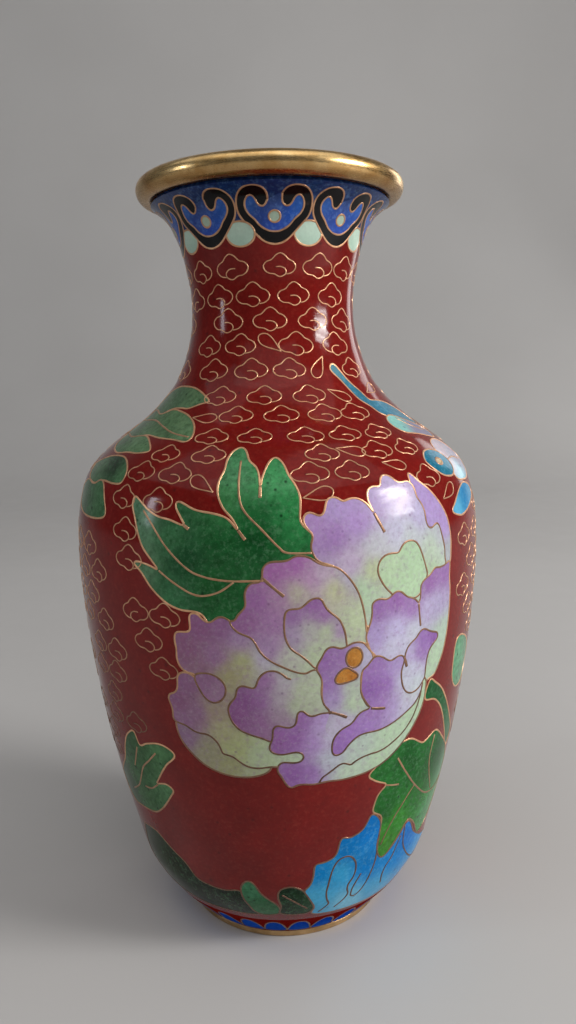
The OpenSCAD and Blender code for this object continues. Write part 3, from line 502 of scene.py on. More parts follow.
    # front low
    cell(p, [(12, 55.4), (10.5, 55.4), (9, 55.2), (7.5, 54.9), (6.3, 55.2), (5.5, 55.9), (4.5, 56.2),
             (3.8, 55.8), (3.6, 54.8), (3.3, 53.6), (2.4, 53.1), (1, 53), (-0.5, 53.4), (-1.8, 53.4),
             (-2.5, 52.6), (-2.5, 51.5), (-2.9, 50.4), (-3.5, 49.5), (-3.3, 48.6), (-2.4, 48.1),
             (-0.8, 47.8), (1, 47.9), (3, 48.2), (4.6, 48), (5.4, 47.3), (5, 46.5), (3.8, 46.1), (2, 46.1),
             (0.2, 46.3), (-1, 46), (-1.6, 45.2), (-1.5, 44.3), (-0.6, 43.4), (0.2, 42.3), (1.1, 41.3),
             (2.2, 41), (3.5, 41.5), (5.5, 41.6), (8, 41.4), (12, 41.7), (16, 41.6), (20, 41.8), (24, 42.2),
             (28, 43), (31.5, 44.3), (34.5, 45.9), (37, 47.6), (39.2, 49.6), (40.9, 51.8), (41.7, 54),
             (41.7, 56), (41.2, 57.6), (36, 60), (24, 58), (16, 58)],
         [(-1, 50.6, (148, 98, 160)), (3, 50.6, (148, 98, 166)), (5, 54, (156, 110, 174)),
          (10, 53.6, (184, 158, 210)), (3, 43.6, (148, 98, 168)), (8, 49.6, (170, 136, 194)),
          (7, 44, (158, 116, 182)), (12, 50.4, (194, 188, 212)), (12, 46, (190, 196, 208)),
          (20, 47.6, (186, 204, 190)), (18, 43, (186, 208, 182)), (30, 49, (182, 208, 176)),
          (27, 44, (180, 206, 172)), (38, 52, (180, 206, 172)), (40.6, 56, (178, 204, 170))])
    wire("peony_wires",
         [(9.6, 41.6), (10.5, 42.6), (12, 43.3), (13.5, 44), (15, 44.7), (16.3, 44.9), (17.5, 44.6),
          (18.5, 44.4), (19.7, 44.9), (21.5, 45.4), (24, 45.7), (26.5, 45.8), (29, 46.2), (31.5, 47),
          (34, 48), (36, 49.2), (37.8, 50.8), (39, 52.7), (39.8, 54.8), (40, 56.6)])
    # stamen petal
    cell(p, [(8.4, 63.6), (8.8, 64.6), (9.8, 65.7), (10.5, 66.8), (11.7, 67.4), (13, 67.3), (14.3, 66.9),
             (15.7, 67.1), (17, 67.6), (19, 67.7), (20.5, 67.3), (21.5, 66.3), (22.8, 65.2), (23, 64),
             (22, 62.8), (20, 62), (19.9, 60), (20, 58.5), (20.8, 57), (22, 55.6), (23.2, 54.8), (21, 53),
             (15, 50), (11, 52), (12, 55.4), (11, 56.3), (10.2, 57.3), (9.8, 58.6), (9.8, 60), (9.8, 61.5),
             (9.3, 62.5)],
         [(11, 65, (150, 106, 172)), (14, 65.8, (156, 118, 176)), (11.6, 60.6, (154, 114, 180)),
          (13, 58, (172, 148, 198)), (17.6, 59.4, (184, 198, 176)), (18, 56.6, (184, 204, 172)),
          (21, 65, (186, 182, 206)), (16, 53, (192, 184, 208)), (14.6, 62.6, (160, 126, 178))],
         bare=(10.4, 22.6, 49, 55.2))
    wire("peony_wires", [(12, 55.4), (14.5, 54.7), (16.5, 54)], width=0.5)
    # tongue
    cell(p, [(20, 61.8), (20.3, 62.6), (21.3, 63), (22.3, 63.8), (23.2, 64.5), (24.5, 64.6), (26, 64.1),
             (27.3, 63.4), (28.5, 63.2), (30, 63.7), (31.3, 63.8), (32.4, 63.2), (36, 60), (40, 57.3),
             (39.5, 55), (37.8, 53.4), (35, 52.3), (32, 51.3), (29, 50.6), (26, 50.2), (22, 50.2),
             (20, 49.9), (18.5, 49.2), (17, 48.2), (16, 47.2), (14.8, 46.8), (13.5, 46.8), (12.9, 47.5),
             (12.8, 48.8), (13.1, 50), (14, 51), (15.5, 51.9), (17, 52.3), (18.2, 52.8), (19, 53.6),
             (20, 54.4), (21.5, 54.8), (23, 55), (21.8, 56), (20.8, 57.2), (20, 58.5), (19.9, 60)],
         [(24, 62.6, (156, 118, 182)), (23, 58.6, (142, 96, 172)), (27, 59, (150, 106, 180)),
          (30, 62, (170, 148, 200)), (33, 59, (192, 190, 214)), (36, 56, (196, 204, 208)),
          (26, 55, (160, 122, 186)), (30, 54, (176, 156, 204)), (34, 53.4, (190, 188, 210)),
          (22, 52, (160, 124, 190)), (15, 49, (154, 112, 184)), (18, 51, (158, 118, 188))])
    wire("peony_wires", [(23.2, 54.9), (25, 54.6), (27.5, 54.3)], width=0.5)
    # side curl
    cell(p, [(31.8, 60.5), (32.2, 58.8), (33, 57.3), (34.2, 56.3), (35.8, 55.8), (37.5, 55.9), (39, 56.4),
             (40, 57.3), (40.8, 58), (40.7, 59), (40.8, 61), (41.2, 62.5), (42, 63.5), (43.3, 64.2),
             (44.6, 64.7), (44.9, 65.4), (44.5, 66), (43, 66.3), (41.3, 66.7), (39.8, 67.3), (38.5, 67.6),
             (37.2, 67.2), (36.2, 66.3), (34.6, 65.7), (33.3, 64.9), (32.7, 63.8), (32.5, 62.5)],
         [(43.4, 65.4, (140, 94, 166)), (39, 66, (152, 112, 182)), (38, 63.6, (152, 112, 180)),
          (34.6, 64, (184, 172, 210)), (36, 60, (196, 196, 218)), (37.6, 57.6, (194, 204, 210)),
          (33.6, 59.6, (194, 198, 214))])
    wire("peony_wires", [(32.4, 63.2), (33, 62.3), (33.5, 61.3)], width=0.55)
    cell("peony_stamens", ring(17.9, 65.0, 2.2, 1.9, 14),
         [(17.9, 65.6, ORANGE), (17.2, 64.2, (176, 108, 40)), (19, 65, (214, 150, 70))])
    cell("peony_stamens",
         [(13, 61.4), (13.6, 62.3), (15, 63.2), (16.4, 63.3), (17.6, 62.6), (18.9, 62), (19, 61.2),
          (17.6, 60.8), (15, 60.5), (13.4, 60.6)],
         [(14.8, 62.2, (212, 146, 66)), (17, 61.8, (186, 116, 46)), (13.4, 61.2, (196, 130, 54))])


# ---------------------------------------------------------------- the back, where the photo shows nothing

REAR_AZ, REAR_Z, REAR_R, REAR_DISC, REAR_PETALS = 180.0, 58.0, 22.0, 6.0, 9


def rear_point(angle, r):
    return (REAR_AZ + r * math.cos(angle * DEG) / (BELLY_R * DEG), REAR_Z + r * math.sin(angle * DEG))


def draw_rear():
    for az, z, long, wide, tilt in ((104, 66, 15, 5, 62), (112, 38, 14, 5.5, 118), (128, 90, 12, 4.6, 20),
                                    (140, 24, 15, 5, 30), (222, 24, 15, 5, 150), (236, 84, 13, 5, 140),
                                    (246, 48, 14, 5.4, 60), (262, 76, 13, 4.6, 112)):
        c, s = math.cos(tilt * DEG), math.sin(tilt * DEG)

        def place(x, y):
            up = z + x * s + y * c
            return az + (x * c - y * s) / (float(radius(up)) * DEG), up

        outline, count = [], 32
        for i in range(count):
            t = i * 2 * math.pi / count
            ripple = 1 + 0.09 * math.sin(6 * t)
            outline.append(place(long * math.cos(t), wide * math.sin(t) * (1 - 0.35 * math.cos(t)) * ripple))
        cell("leaves", outline, [place(-long, 0) + (DEEP_GREEN,), place(long, 0) + (FRESH_GREEN,),
                                 place(0, wide) + (GREEN,), place(0, -wide) + (SAGE,)])
        wire("leaf_wires", [place(-long * 0.92, 0), place(0, wide * 0.12), place(long * 0.8, 0)])
        for x in (-0.45, 0.0, 0.4):
            wire("leaf_wires", [place(long * x, 0), place(long * (x + 0.25), wide * 0.6)])
            wire("leaf_wires", [place(long * x, 0), place(long * (x + 0.25), -wide * 0.6)])
    turn = 360 / REAR_PETALS
    for layer, (reach, half, offset) in enumerate(((1.0, 0.62, 0.0), (0.66, 0.55, 0.5))):
        for i in range(REAR_PETALS):
            mid = (i + offset) * turn
            r1 = REAR_R * reach
            shape = [(-half * 0.55, 0.3), (-half, 0.66), (-half * 0.86, 0.9), (-half * 0.34, 1.0), (0, 0.94),
                     (half * 0.34, 1.0), (half * 0.86, 0.9), (half, 0.66), (half * 0.55, 0.3), (0, 0.24)]
            cell("rear_blossom", [rear_point(mid + u * turn, r1 * v) for u, v in shape],
                 [rear_point(mid, r1) + (MAUVE if layer else ROSE,), rear_point(mid, r1 * 0.72) + (LAVENDER,),
                  rear_point(mid, r1 * 0.42) + (CREAM,)])
    cell("rear_blossom", [rear_point(i * 18, REAR_DISC) for i in range(20)],
         [rear_point(0, 0) + (ORANGE,), rear_point(90, REAR_DISC) + (CREAM,), rear_point(250, 5) + (OLIVE,)])
    for i in range(7):
        wire("rear_blossom_wires", [rear_point(i * 51.4, 1.4), rear_point(i * 51.4 + 8, 4.4)])


# ---------------------------------------------------------------- collar and foot border

HEADS, HEAD_AZ = 9, 2.2
SCALLOPS, SCALLOP_SHARE = 30, 0.9           # how many, and how much of its place each one fills
SCALLOP_LOW, SCALLOP_TALL = 2.0, 5.0
# Half of a ruyi head's band about its own middle: the outside, round the curl, and back along the inside
HALF_BAND = [(0, 135.4), (6, 135.9), (10.5, 137.1), (15, 138.7), (18.6, 140.1), (19.6, 141.6), (18.6, 143.1),
             (15, 144.2), (10, 144.5), (6, 144.2), (3.8, 143.5), (3.4, 142.5), (4.8, 141.6), (7.4, 141.5),
             (9, 142.1), (10, 142.9), (12.2, 143.3), (14.6, 142.6), (15.4, 141.5), (13.6, 140.3),
             (10.6, 139.5), (8.6, 138.6), (4, 137.7), (0, 137.5)]
CURL_TIP = 11
HEART_TOP = 143.4
HALF_HEART = HALF_BAND[:CURL_TIP - 1:-1] + [(3.6, HEART_TOP)]


def mirrored(half):
    """A closed outline from its right half, which starts and ends on the centre line."""
    return half + [(-a, z) for a, z in half[-2:0:-1]]


def draw_collar():
    pitch = 360 / HEADS
    for i in range(HEADS):
        az = (HEAD_AZ + i * pitch - SEAM) % 360 + SEAM
        cell("collar_drops", ring(az + pitch / 2, 137.3, 8.8, 2.1, 18),
             [(az + pitch / 2, 138, (198, 224, 206)), (az + pitch / 2, 136, (176, 206, 188))])
        cell("ruyi_bands", [(az + a, z) for a, z in mirrored(HALF_BAND)], [(az, 137, INK)])
        cell("ruyi_hearts", [(az + a, z) for a, z in mirrored(HALF_HEART)],
             [(az, 138.4, (44, 84, 190)), (az - 12, 142, (50, 104, 190)), (az + 12, 142, (44, 100, 190)),
              (az, 140.8, (72, 100, 176)), (az + 7, 140.4, (30, 84, 186)), (az - 7, 140.4, (40, 72, 160)),
              (az, 142.6, (52, 74, 130)), (az, 143.4, (38, 66, 122))],
             bare=(az - 3.3, az + 3.3, HEART_TOP - 1.2, HEART_TOP + 0.6))
        cell("ruyi_dots", ring(az, 139.9, 3.4, 1.0, 14), [(az, 139.9, (176, 198, 178))])


def draw_border():
    half = 180 / SCALLOPS * SCALLOP_SHARE
    for i in range(SCALLOPS):
        az = (i + 0.5) * 360 / SCALLOPS
        cell("foot_scallops",
             [(az - half * math.cos(t * DEG), SCALLOP_LOW + SCALLOP_TALL * math.sin(t * DEG))
              for t in range(0, 181, 20)],
             [(az, 6, (20, 66, 176)), (az, 2.4, (40, 96, 200)), (az - 3, 4, (22, 76, 190))])


# ---------------------------------------------------------------- cloud wires in the red ground

# One cloud, in millimetres about its centre: the hook inside first, then round its lobes
CLOUD = [(-0.7, -0.45), (0.2, -0.4), (0.9, -0.65), (1.3, -1.15), (1.2, -1.7), (0.6, -2.15), (-0.1, -2.25),
         (-1, -1.8), (-2.1, -1.65), (-2.9, -1.1), (-3.15, -0.3), (-2.6, 0.45), (-1.6, 0.85), (-0.8, 1.7),
         (0.1, 2.1), (1, 1.65), (1.6, 1.05), (2.6, 0.6), (3.15, -0.2), (2.9, -1), (2.2, -1.55), (1.35, -1.75)]
# A drop with its point to the right, closed at the point
DROP = [(2.9, 0), (1.4, 0.62), (0, 1.08), (-1.2, 1.12), (-2, 0.62), (-2.3, -0.1), (-1.9, -0.75),
        (-0.9, -1.12), (0.4, -0.9), (1.6, -0.45), (2.9, 0)]
CLOUD_PITCH = 7.5
CLOUD_W = 0.27
CLOUD_STEP = 0.3
FREE_ACROSS, FREE_UP = 6.6, 3.9     # no cloud is put nearer than this to another
FIRST_ROW, ROW_PITCH = 4.6, 4.7     # from the last known row down to the filled ones
TURNED_SHARE = 0.12                 # clouds that face the other way
STRAY = (1.0, 0.3)                  # how far a filled one lies off its row's pattern: degrees, height
CLOUD_SIZES, CLOUD_TIP = (0.94, 1.04), 4
# Rows with the clouds whose place is known: height, their azimuths
NECK_ROWS = [(132, [-26, 5, 31, 55]), (127, [-38, -13, 14, 43]), (122.5, [-31, -2, 27, 54]),
             (118, [-45, -21, 14, 43]), (113.5, [-37, -13, 8.5, 51.5]), (108.8, [-27, -5, 16.5]),
             (105.5, [-16, 2.5, 20.5, 35]), (102, [-22, -7, 10, 24, 38]), (99.2, [-35, -20, 13.4, 31.5, 44]),
             (96.3, [-40, -28, 8.6, 20.2]), (94.3, [44.6]), (92, [-43, -31])]
# Drops among the clouds: azimuth, height, the way that the point turns in degrees
DROPS = [(-3, 118.2, -38), (25.5, 113.4, 58), (33, 108.4, 148), (-29, 104.9, 178), (23, 99.2, 165),
         (-19.5, 94.7, -32), (34.6, 96.6, 165), (10.4, 92.9, 190), (52, 91, 205), (60, 109.4, 200)]
BODY_CLOUDS = [(-41, 86.6), (-39.5, 81.8), (-28.8, 72.5), (-38.1, 72.6), (-34.6, 67.5), (-30.7, 62.6)]
LOWEST_CLOUD = 36
HIGHEST_CLOUD = 134.8
NECK_CLOUDS = 98    # clouds above this height keep the lighter wire, with no painted shade
# The front below the peony, where the ground is bare: azimuths, and the height that it reaches up to
BARE_FRONT = (-44, 70, 56)
MOTIF_GAP = 0.5


def clouds():
    """Every cloud or drop as a line on the skin; those that would touch a motif are left out."""
    motifs = [c["outline"] for c in CELLS if c["node"] not in GROUNDS + ("collar_enamel",)]
    spots = [(az, z, "cloud") for az, z in BODY_CLOUDS]
    for z, known in NECK_ROWS:
        spots += [(az, z, "cloud") for az in known]
    spots += [(az, z, turn) for az, z, turn in DROPS]
    rows = [z for z, _ in NECK_ROWS]
    z = rows[-1] - FIRST_ROW
    while z > LOWEST_CLOUD:
        rows.append(z)
        z -= ROW_PITCH
    for k, z in enumerate(rows):
        count = max(1, round(360 * DEG * float(radius(z)) / CLOUD_PITCH))
        for i in range(count):
            spots.append(((i + 0.5 * (k % 2)) * 360 / count - 180 + random.uniform(-STRAY[0], STRAY[0]),
                          z + random.uniform(-STRAY[1], STRAY[1]), "fill"))
    taken, lines = [], []
    for az, z, kind in spots:
        per_mm = 1 / (float(radius(z)) * DEG)
        lean = 1 / math.sqrt(1 + float(slope(z)) ** 2)
        wrapped = [(abs((az - a + 180) % 360 - 180) / per_mm, abs(z - b) / lean) for a, b in taken]
        if kind == "fill" and any(dx < FREE_ACROSS and dz < FREE_UP for dx, dz in wrapped):
            continue
        size = random.uniform(*CLOUD_SIZES)
        glyph = np.array(CLOUD if isinstance(kind, str) else DROP) * size
        if isinstance(kind, str):
            glyph[:, 0] *= -1 if random.random() < TURNED_SHARE else 1
            tip = random.uniform(-CLOUD_TIP, CLOUD_TIP) * DEG
        else:
            tip = kind * DEG
        glyph = glyph @ np.array([[math.cos(tip), math.sin(tip)], [-math.sin(tip), math.cos(tip)]])
        line = np.stack([az + glyph[:, 0] * per_mm, z + glyph[:, 1] * lean], -1)
        bare = BARE_FRONT[0] < az < BARE_FRONT[1] and z < BARE_FRONT[2]
        if kind == "fill" and (bare or near_motif(line, motifs)):
            continue
        if line[:, 1].max() > HIGHEST_CLOUD or (kind == "fill" and not line[:, 1].min() > LOWEST_CLOUD - 2):
            continue
        taken.append((az, z))
        lines.append(curved(line, step=CLOUD_STEP))
    return lines


def near_motif(line, motifs):
    """Whether a line meets any outline, or comes within the gap of one."""
    for shape in motifs:
        for turn in (-360, 0, 360):
            moved = line + [turn, 0]
            if moved[:, 0].min() > shape[:, 0].max() + 2 or moved[:, 0].max() < shape[:, 0].min() - 2:
                continue
            if moved[:, 1].min() > shape[:, 1].max() + 1 or moved[:, 1].max() < shape[:, 1].min() - 1:
                continue
            if inside(moved, shape).any():
                return True
            gaps = flat(moved)[:, None, :] - flat(shape)[None, :, :]
            if (np.linalg.norm(gaps, axis=2) < MOTIF_GAP).any():
                return True
    return False


# ---------------------------------------------------------------- from outlines to solid pieces

SHORTEST_WIRE = 0.3
GRID_AZ, GRID_Z = 2.25, 1.15
ACROSS = 0.65   # degrees count this much against millimetres while triangulating
# Fields of the front (azimuths, then heights) that take extra points, so that their colours blend finely
DETAIL = [(-31, 50, 41, 96), (-40, 6, 70, 100), (5, 72, 9, 47)]
DETAIL_AZ, DETAIL_Z = 1.05, 0.7
EDGE_POINTS = 161


def triangulate():
    """One triangulation of the skin with every outline in it. Gives points, triangles and each one's cell."""
    points, edges, shapes = [], [], []

    def add(az, z):
        points.append((az * ACROSS, z))
        return len(points) - 1

    for index, c in enumerate(CELLS):
        for turn in (-360, 0, 360):
            az = c["outline"][:, 0] + turn
            all_round = c["node"] in GROUNDS + ("collar_enamel",)
            if az.max() < SEAM - 1 or az.min() > SEAM + 361 or (turn and all_round):
                continue
            loop = [add(a, z) for a, z in zip(az, c["outline"][:, 1])]
            edges += list(zip(loop, loop[1:] + loop[:1]))
            shapes.append((index, np.stack([az, c["outline"][:, 1]], -1)))
    levels = np.linspace(FOOT_EDGE, LIP_Z, int((LIP_Z - FOOT_EDGE) / GRID_Z))
    for k, z in enumerate(levels):
        shift = 0.5 * (k % 2) * GRID_AZ
        for az in np.arange(SEAM + GRID_AZ, SEAM + 359.9 - GRID_AZ / 2, GRID_AZ):
            add(az + shift, z)
    for az in (SEAM, SEAM + 360):
        side = [add(az, z) for z in levels]
        edges += list(zip(side[:-1], side[1:]))
    for z in (FOOT_EDGE, LIP_Z):
        row = [add(a, z) for a in np.linspace(SEAM, SEAM + 360, EDGE_POINTS)]
        edges += list(zip(row[:-1], row[1:]))
    for az0, az1, z0, z1 in DETAIL:
        for z in np.arange(z0, z1, DETAIL_Z):
            for az in np.arange(az0, az1, DETAIL_AZ):
                add(az + 0.31 + random.uniform(-0.2, 0.2), z + random.uniform(-0.15, 0.15))
    verts, _, tris, _, _, _ = delaunay_2d_cdt([Vector(p) for p in points], edges, [], 0, 1e-4, False)
    uv = np.array([(v.x / ACROSS, v.y) for v in verts])
    tris = np.array([t for t in tris if len(t) == 3])
    mid = uv[tris].mean(1)
    kept = (mid[:, 0] > SEAM) & (mid[:, 0] < SEAM + 360) & (mid[:, 1] > FOOT_EDGE) & (mid[:, 1] < LIP_Z)
    tris, mid = tris[kept], mid[kept]
    cells = np.full(len(tris), -1)
    for index, shape in shapes:
        low, high = shape.min(0), shape.max(0)
        near = np.flatnonzero(((mid > low) & (mid < high)).all(1))
        cells[near[inside(mid[near], shape)]] = index
    return uv, seam_joined(uv, tris), cells


def seam_joined(uv, tris):
    """Points on the far side of the seam become the ones on the near side."""
    near = {round(uv[i, 1], 3): i for i in range(len(uv)) if abs(uv[i, 0] - SEAM) < 1e-3}
    swap = np.arange(len(uv))
    for i in range(len(uv)):
        if abs(uv[i, 0] - SEAM - 360) < 1e-3:
            swap[i] = near.get(round(uv[i, 1], 3), i)
    return swap[tris]


BLEND_SOFT, BLEND_POWER = 1.2, 1.6      # how gently a seed's colour gives way to the next


def painted(points, seeds):
    """Each point's colour, blended from the seeds by distance."""
    at = flat([(a, z) for a, z, _ in seeds])
    tint = np.array([linear(rgb) for _, _, rgb in seeds])
    apart = np.linalg.norm(flat(points)[:, None, :] - at[None, :, :], axis=2)
    share = 1 / (apart**2 + BLEND_SOFT) ** BLEND_POWER
    return (share[:, :, None] * tint[None]).sum(1) / share.sum(1)[:, None]


def boundary(tris):
    """Edges that only one triangle has, in that triangle's direction."""
    e = np.concatenate([tris[:, [0, 1]], tris[:, [1, 2]], tris[:, [2, 0]]])
    key = np.sort(e, axis=1)
    key = key[:, 0] * (key.max() + 1) + key[:, 1]
    _, first, count = np.unique(key, return_index=True, return_counts=True)
    return e[first[count == 1]]


def enamel_piece(name, node, uv, tris, cells):
    """All the cells of one node as closed solids as deep as the enamel, with the skin's true normals."""
    co, faces, tones, normals, smooth = [], [], [], [], []
    base = 0
    for index in np.unique(cells):
        if CELLS[index]["node"] != node:
            continue
        mine = tris[cells == index]
        used, local = np.unique(mine, return_inverse=True)
        local = local.reshape(-1, 3)
        az, z = uv[used, 0], uv[used, 1]
        n = len(used)
        out_n = normal(az, z)
        co += [on_skin(az, z), on_skin(az, z, -ENAMEL)]
        tint = painted(uv[used], CELLS[index]["seeds"])
        tones += [tint, tint]
        walls = boundary(local)
        quads = np.stack([walls[:, 1], walls[:, 0], walls[:, 0] + n, walls[:, 1] + n], -1)
        back = local[:, ::-1] + n
        faces += (local + base).tolist() + (back + base).tolist() + (quads + base).tolist()
        normals += [out_n[local.ravel()], -out_n[(back - n).ravel()], np.zeros((len(quads) * 4, 3))]
        smooth += [True] * (2 * len(local)) + [False] * len(quads)
        base += 2 * n
    mesh = meshed(name, np.concatenate(co), faces, smooth)
    paint = mesh.attributes.new("paint", "FLOAT_COLOR", "POINT")
    tint = np.concatenate(tones)
    rgba = np.concatenate([tint, np.ones((len(tint), 1))], 1)
    paint.data.foreach_set("color", rgba.ravel().astype(np.float32))
    mesh.normals_split_custom_set(np.concatenate(normals).tolist())
    return placed(name, mesh)


def linked(name, data):
    """A new object in the scene."""
    made = bpy.data.objects.new(name, data)
    bpy.context.scene.collection.objects.link(made)
    return made


def placed(name, mesh):
    mesh.validate()
    return linked(name, mesh)


def meshed(name, co, faces, smooth=None):
    """A mesh from points in mm; its faces are smooth unless a list says which are."""
    mesh = bpy.data.meshes.new(name)
    mesh.from_pydata((np.asarray(co) * MM).tolist(), [], faces)
    mesh.polygons.foreach_set("use_smooth", smooth or [True] * len(faces))
    return mesh


def edge_chains(uv, tris, cells):
    """The visible stretches of every cell's outline, as (node of the wire, points, closed, shade).

    The shade is painted shade on the wire: 0 where the line borders the red ground and 1 where it lies inside
    a motif."""
    sides = {}
    for tri, c in zip(tris.tolist(), cells.tolist()):
        for a, b in ((tri[0], tri[1]), (tri[1], tri[2]), (tri[2], tri[0])):
            sides.setdefault((min(a, b), max(a, b)), []).append(c)
    links, painted_shades = {}, {}
    for (a, b), pair in sides.items():
        if len(pair) != 2 or pair[0] == pair[1]:
            continue
        top = max(pair)
        node = CELLS[top]["node"]
        if node in GROUNDS:
            continue
        window = CELLS[top]["bare"]
        mid = (uv[a] + uv[b]) / 2
        if window and window[0] < mid[0] < window[1] and window[2] < mid[1] < window[3]:
            continue
        links.setdefault(top, {}).setdefault(a, []).append(b)
        links[top].setdefault(b, []).append(a)
        # Painted shade on the wire: none where it borders the ground, full inside a motif.
        shade_and_stain = 0.0 if CELLS[min(pair)]["node"] in GROUNDS or min(pair) < 0 else 1.0
        for end in (a, b):
            painted_shades.setdefault((top, end), []).append(shade_and_stain)
    chains = []
    for top, graph in links.items():
        done = set()
        starts = [v for v in graph if len(graph[v]) != 2] + list(graph)
        for start in starts:
            for following in graph[start]:
                if (start, following) in done:
                    continue
                path, here, last = [start], following, start
                done.update({(start, following), (following, start)})
                while True:
                    path.append(here)
                    onward = [v for v in graph[here] if v != last and (here, v) not in done]
                    if len(graph[here]) != 2 or not onward:
                        break
                    done.update({(here, onward[0]), (onward[0], here)})
                    last, here = here, onward[0]
                closed = path[0] == path[-1] and len(path) > 4
                path = path[:-1] if closed else path
                points = unwrapped(uv[path])
                shade_and_stain = np.array([np.mean(painted_shades[top, v]) for v in path])
                if closed or np.linalg.norm(np.diff(flat(points), axis=0), axis=1).sum() > SHORTEST_WIRE:
                    chains.append((WALL_WIRE[CELLS[top]["node"]], points, closed, shade_and_stain))
    return chains


def carried(points, values, onto, blur=5):
    """The values at the nearest points of the first line, carried to the second and evened out along it."""
    apart = np.linalg.norm(flat(onto)[:, None, :] - flat(points)[None, :, :], axis=2)
    taken = np.pad(values[apart.argmin(1)], blur, mode="edge")
    return np.convolve(taken, np.ones(2 * blur + 1) / (2 * blur + 1), mode="valid")


def unwrapped(points):
    """The same points, without the jump of a full turn at the seam."""
    p = points.copy()
    p[:, 0] = np.unwrap(p[:, 0] * DEG) / DEG
    return p


# A wire's section, from its left root over its rounded top to its right root: share of the width, height
MOTIF_SECTION = [(-0.5, -0.5), (-0.5, 0.02), (-0.28, 0.055), (0.28, 0.055), (0.5, 0.02), (0.5, -0.5)]
CLOUD_SECTION = [(-0.5, -0.4), (-0.36, 0.05), (0.36, 0.05), (0.5, -0.4)]


def wire_piece(name, lines, section):
    """Ribbons of wire that run through the enamel along lines of (points, width, closed, painted shade)."""
    co, faces, painted_shades, base = [], [], [], 0
    k = len(section)
    for points, width, closed, shade_and_stain in lines:
        painted_shades.append(np.repeat(np.broadcast_to(shade_and_stain, len(points)), k))
        az, z = points[:, 0], points[:, 1]
        p, up = on_skin(az, z), normal(az, z)
        if closed:
            along = np.roll(p, -1, 0) - np.roll(p, 1, 0)
        else:
            along = np.gradient(p, axis=0)
        across = np.cross(along, up)
        across /= np.maximum(np.linalg.norm(across, axis=1), 1e-9)[:, None]
        n = len(p)
        jitter = 1 + 0.1 * np.sin(np.arange(n) * 0.7 + len(co)) * np.sin(np.arange(n) * 0.23)
        rows = np.stack([p + across * (share * width * jitter)[:, None] + up * height
                         for share, height in section], 1)
        co.append(rows.reshape(-1, 3))
        for i in range(n if closed else n - 1):
            a, b = base + i * k, base + ((i + 1) % n) * k
            for j in range(k):
                faces.append((a + j, a + (j + 1) % k, b + (j + 1) % k, b + j))
        if not closed:
            faces.append(tuple(base + j for j in range(k))[::-1])
            faces.append(tuple(base + (n - 1) * k + j for j in range(k)))
        base += n * k
    mesh = meshed(name, np.concatenate(co), faces)
    marks = mesh.attributes.new("shade_and_stain", "FLOAT", "POINT")
    marks.data.foreach_set("value", np.concatenate(painted_shades).astype(np.float32))
    return placed(name, mesh)


def turned(name, profile, closed_profile=True, count=192, wobble=0.0):
    """A ring or bowl of revolution from (radius, height) in mm; wobble is hand-made unevenness."""
    m = len(profile)
    co, faces = [], []
    for i in range(count):
        a = i * 2 * math.pi / count
        for j, (r, z) in enumerate(profile):
            waves = math.sin(3 * a + j * 0.2) + 0.6 * math.sin(7 * a + 1.3) + 0.4 * math.sin(17 * a)
            uneven = wobble * waves
            r2 = r + uneven if r > 0.5 else r
            co.append((r2 * math.sin(a), -r2 * math.cos(a), z))
    for i in range(count):
        for j in range(m if closed_profile else m - 1):
            a, b = i * m + j, ((i + 1) % count) * m + j
            c, d = ((i + 1) % count) * m + (j + 1) % m, i * m + (j + 1) % m
            faces.append((a, b, c, d))
    return placed(name, meshed(name, co, faces))


# ---------------------------------------------------------------- materials

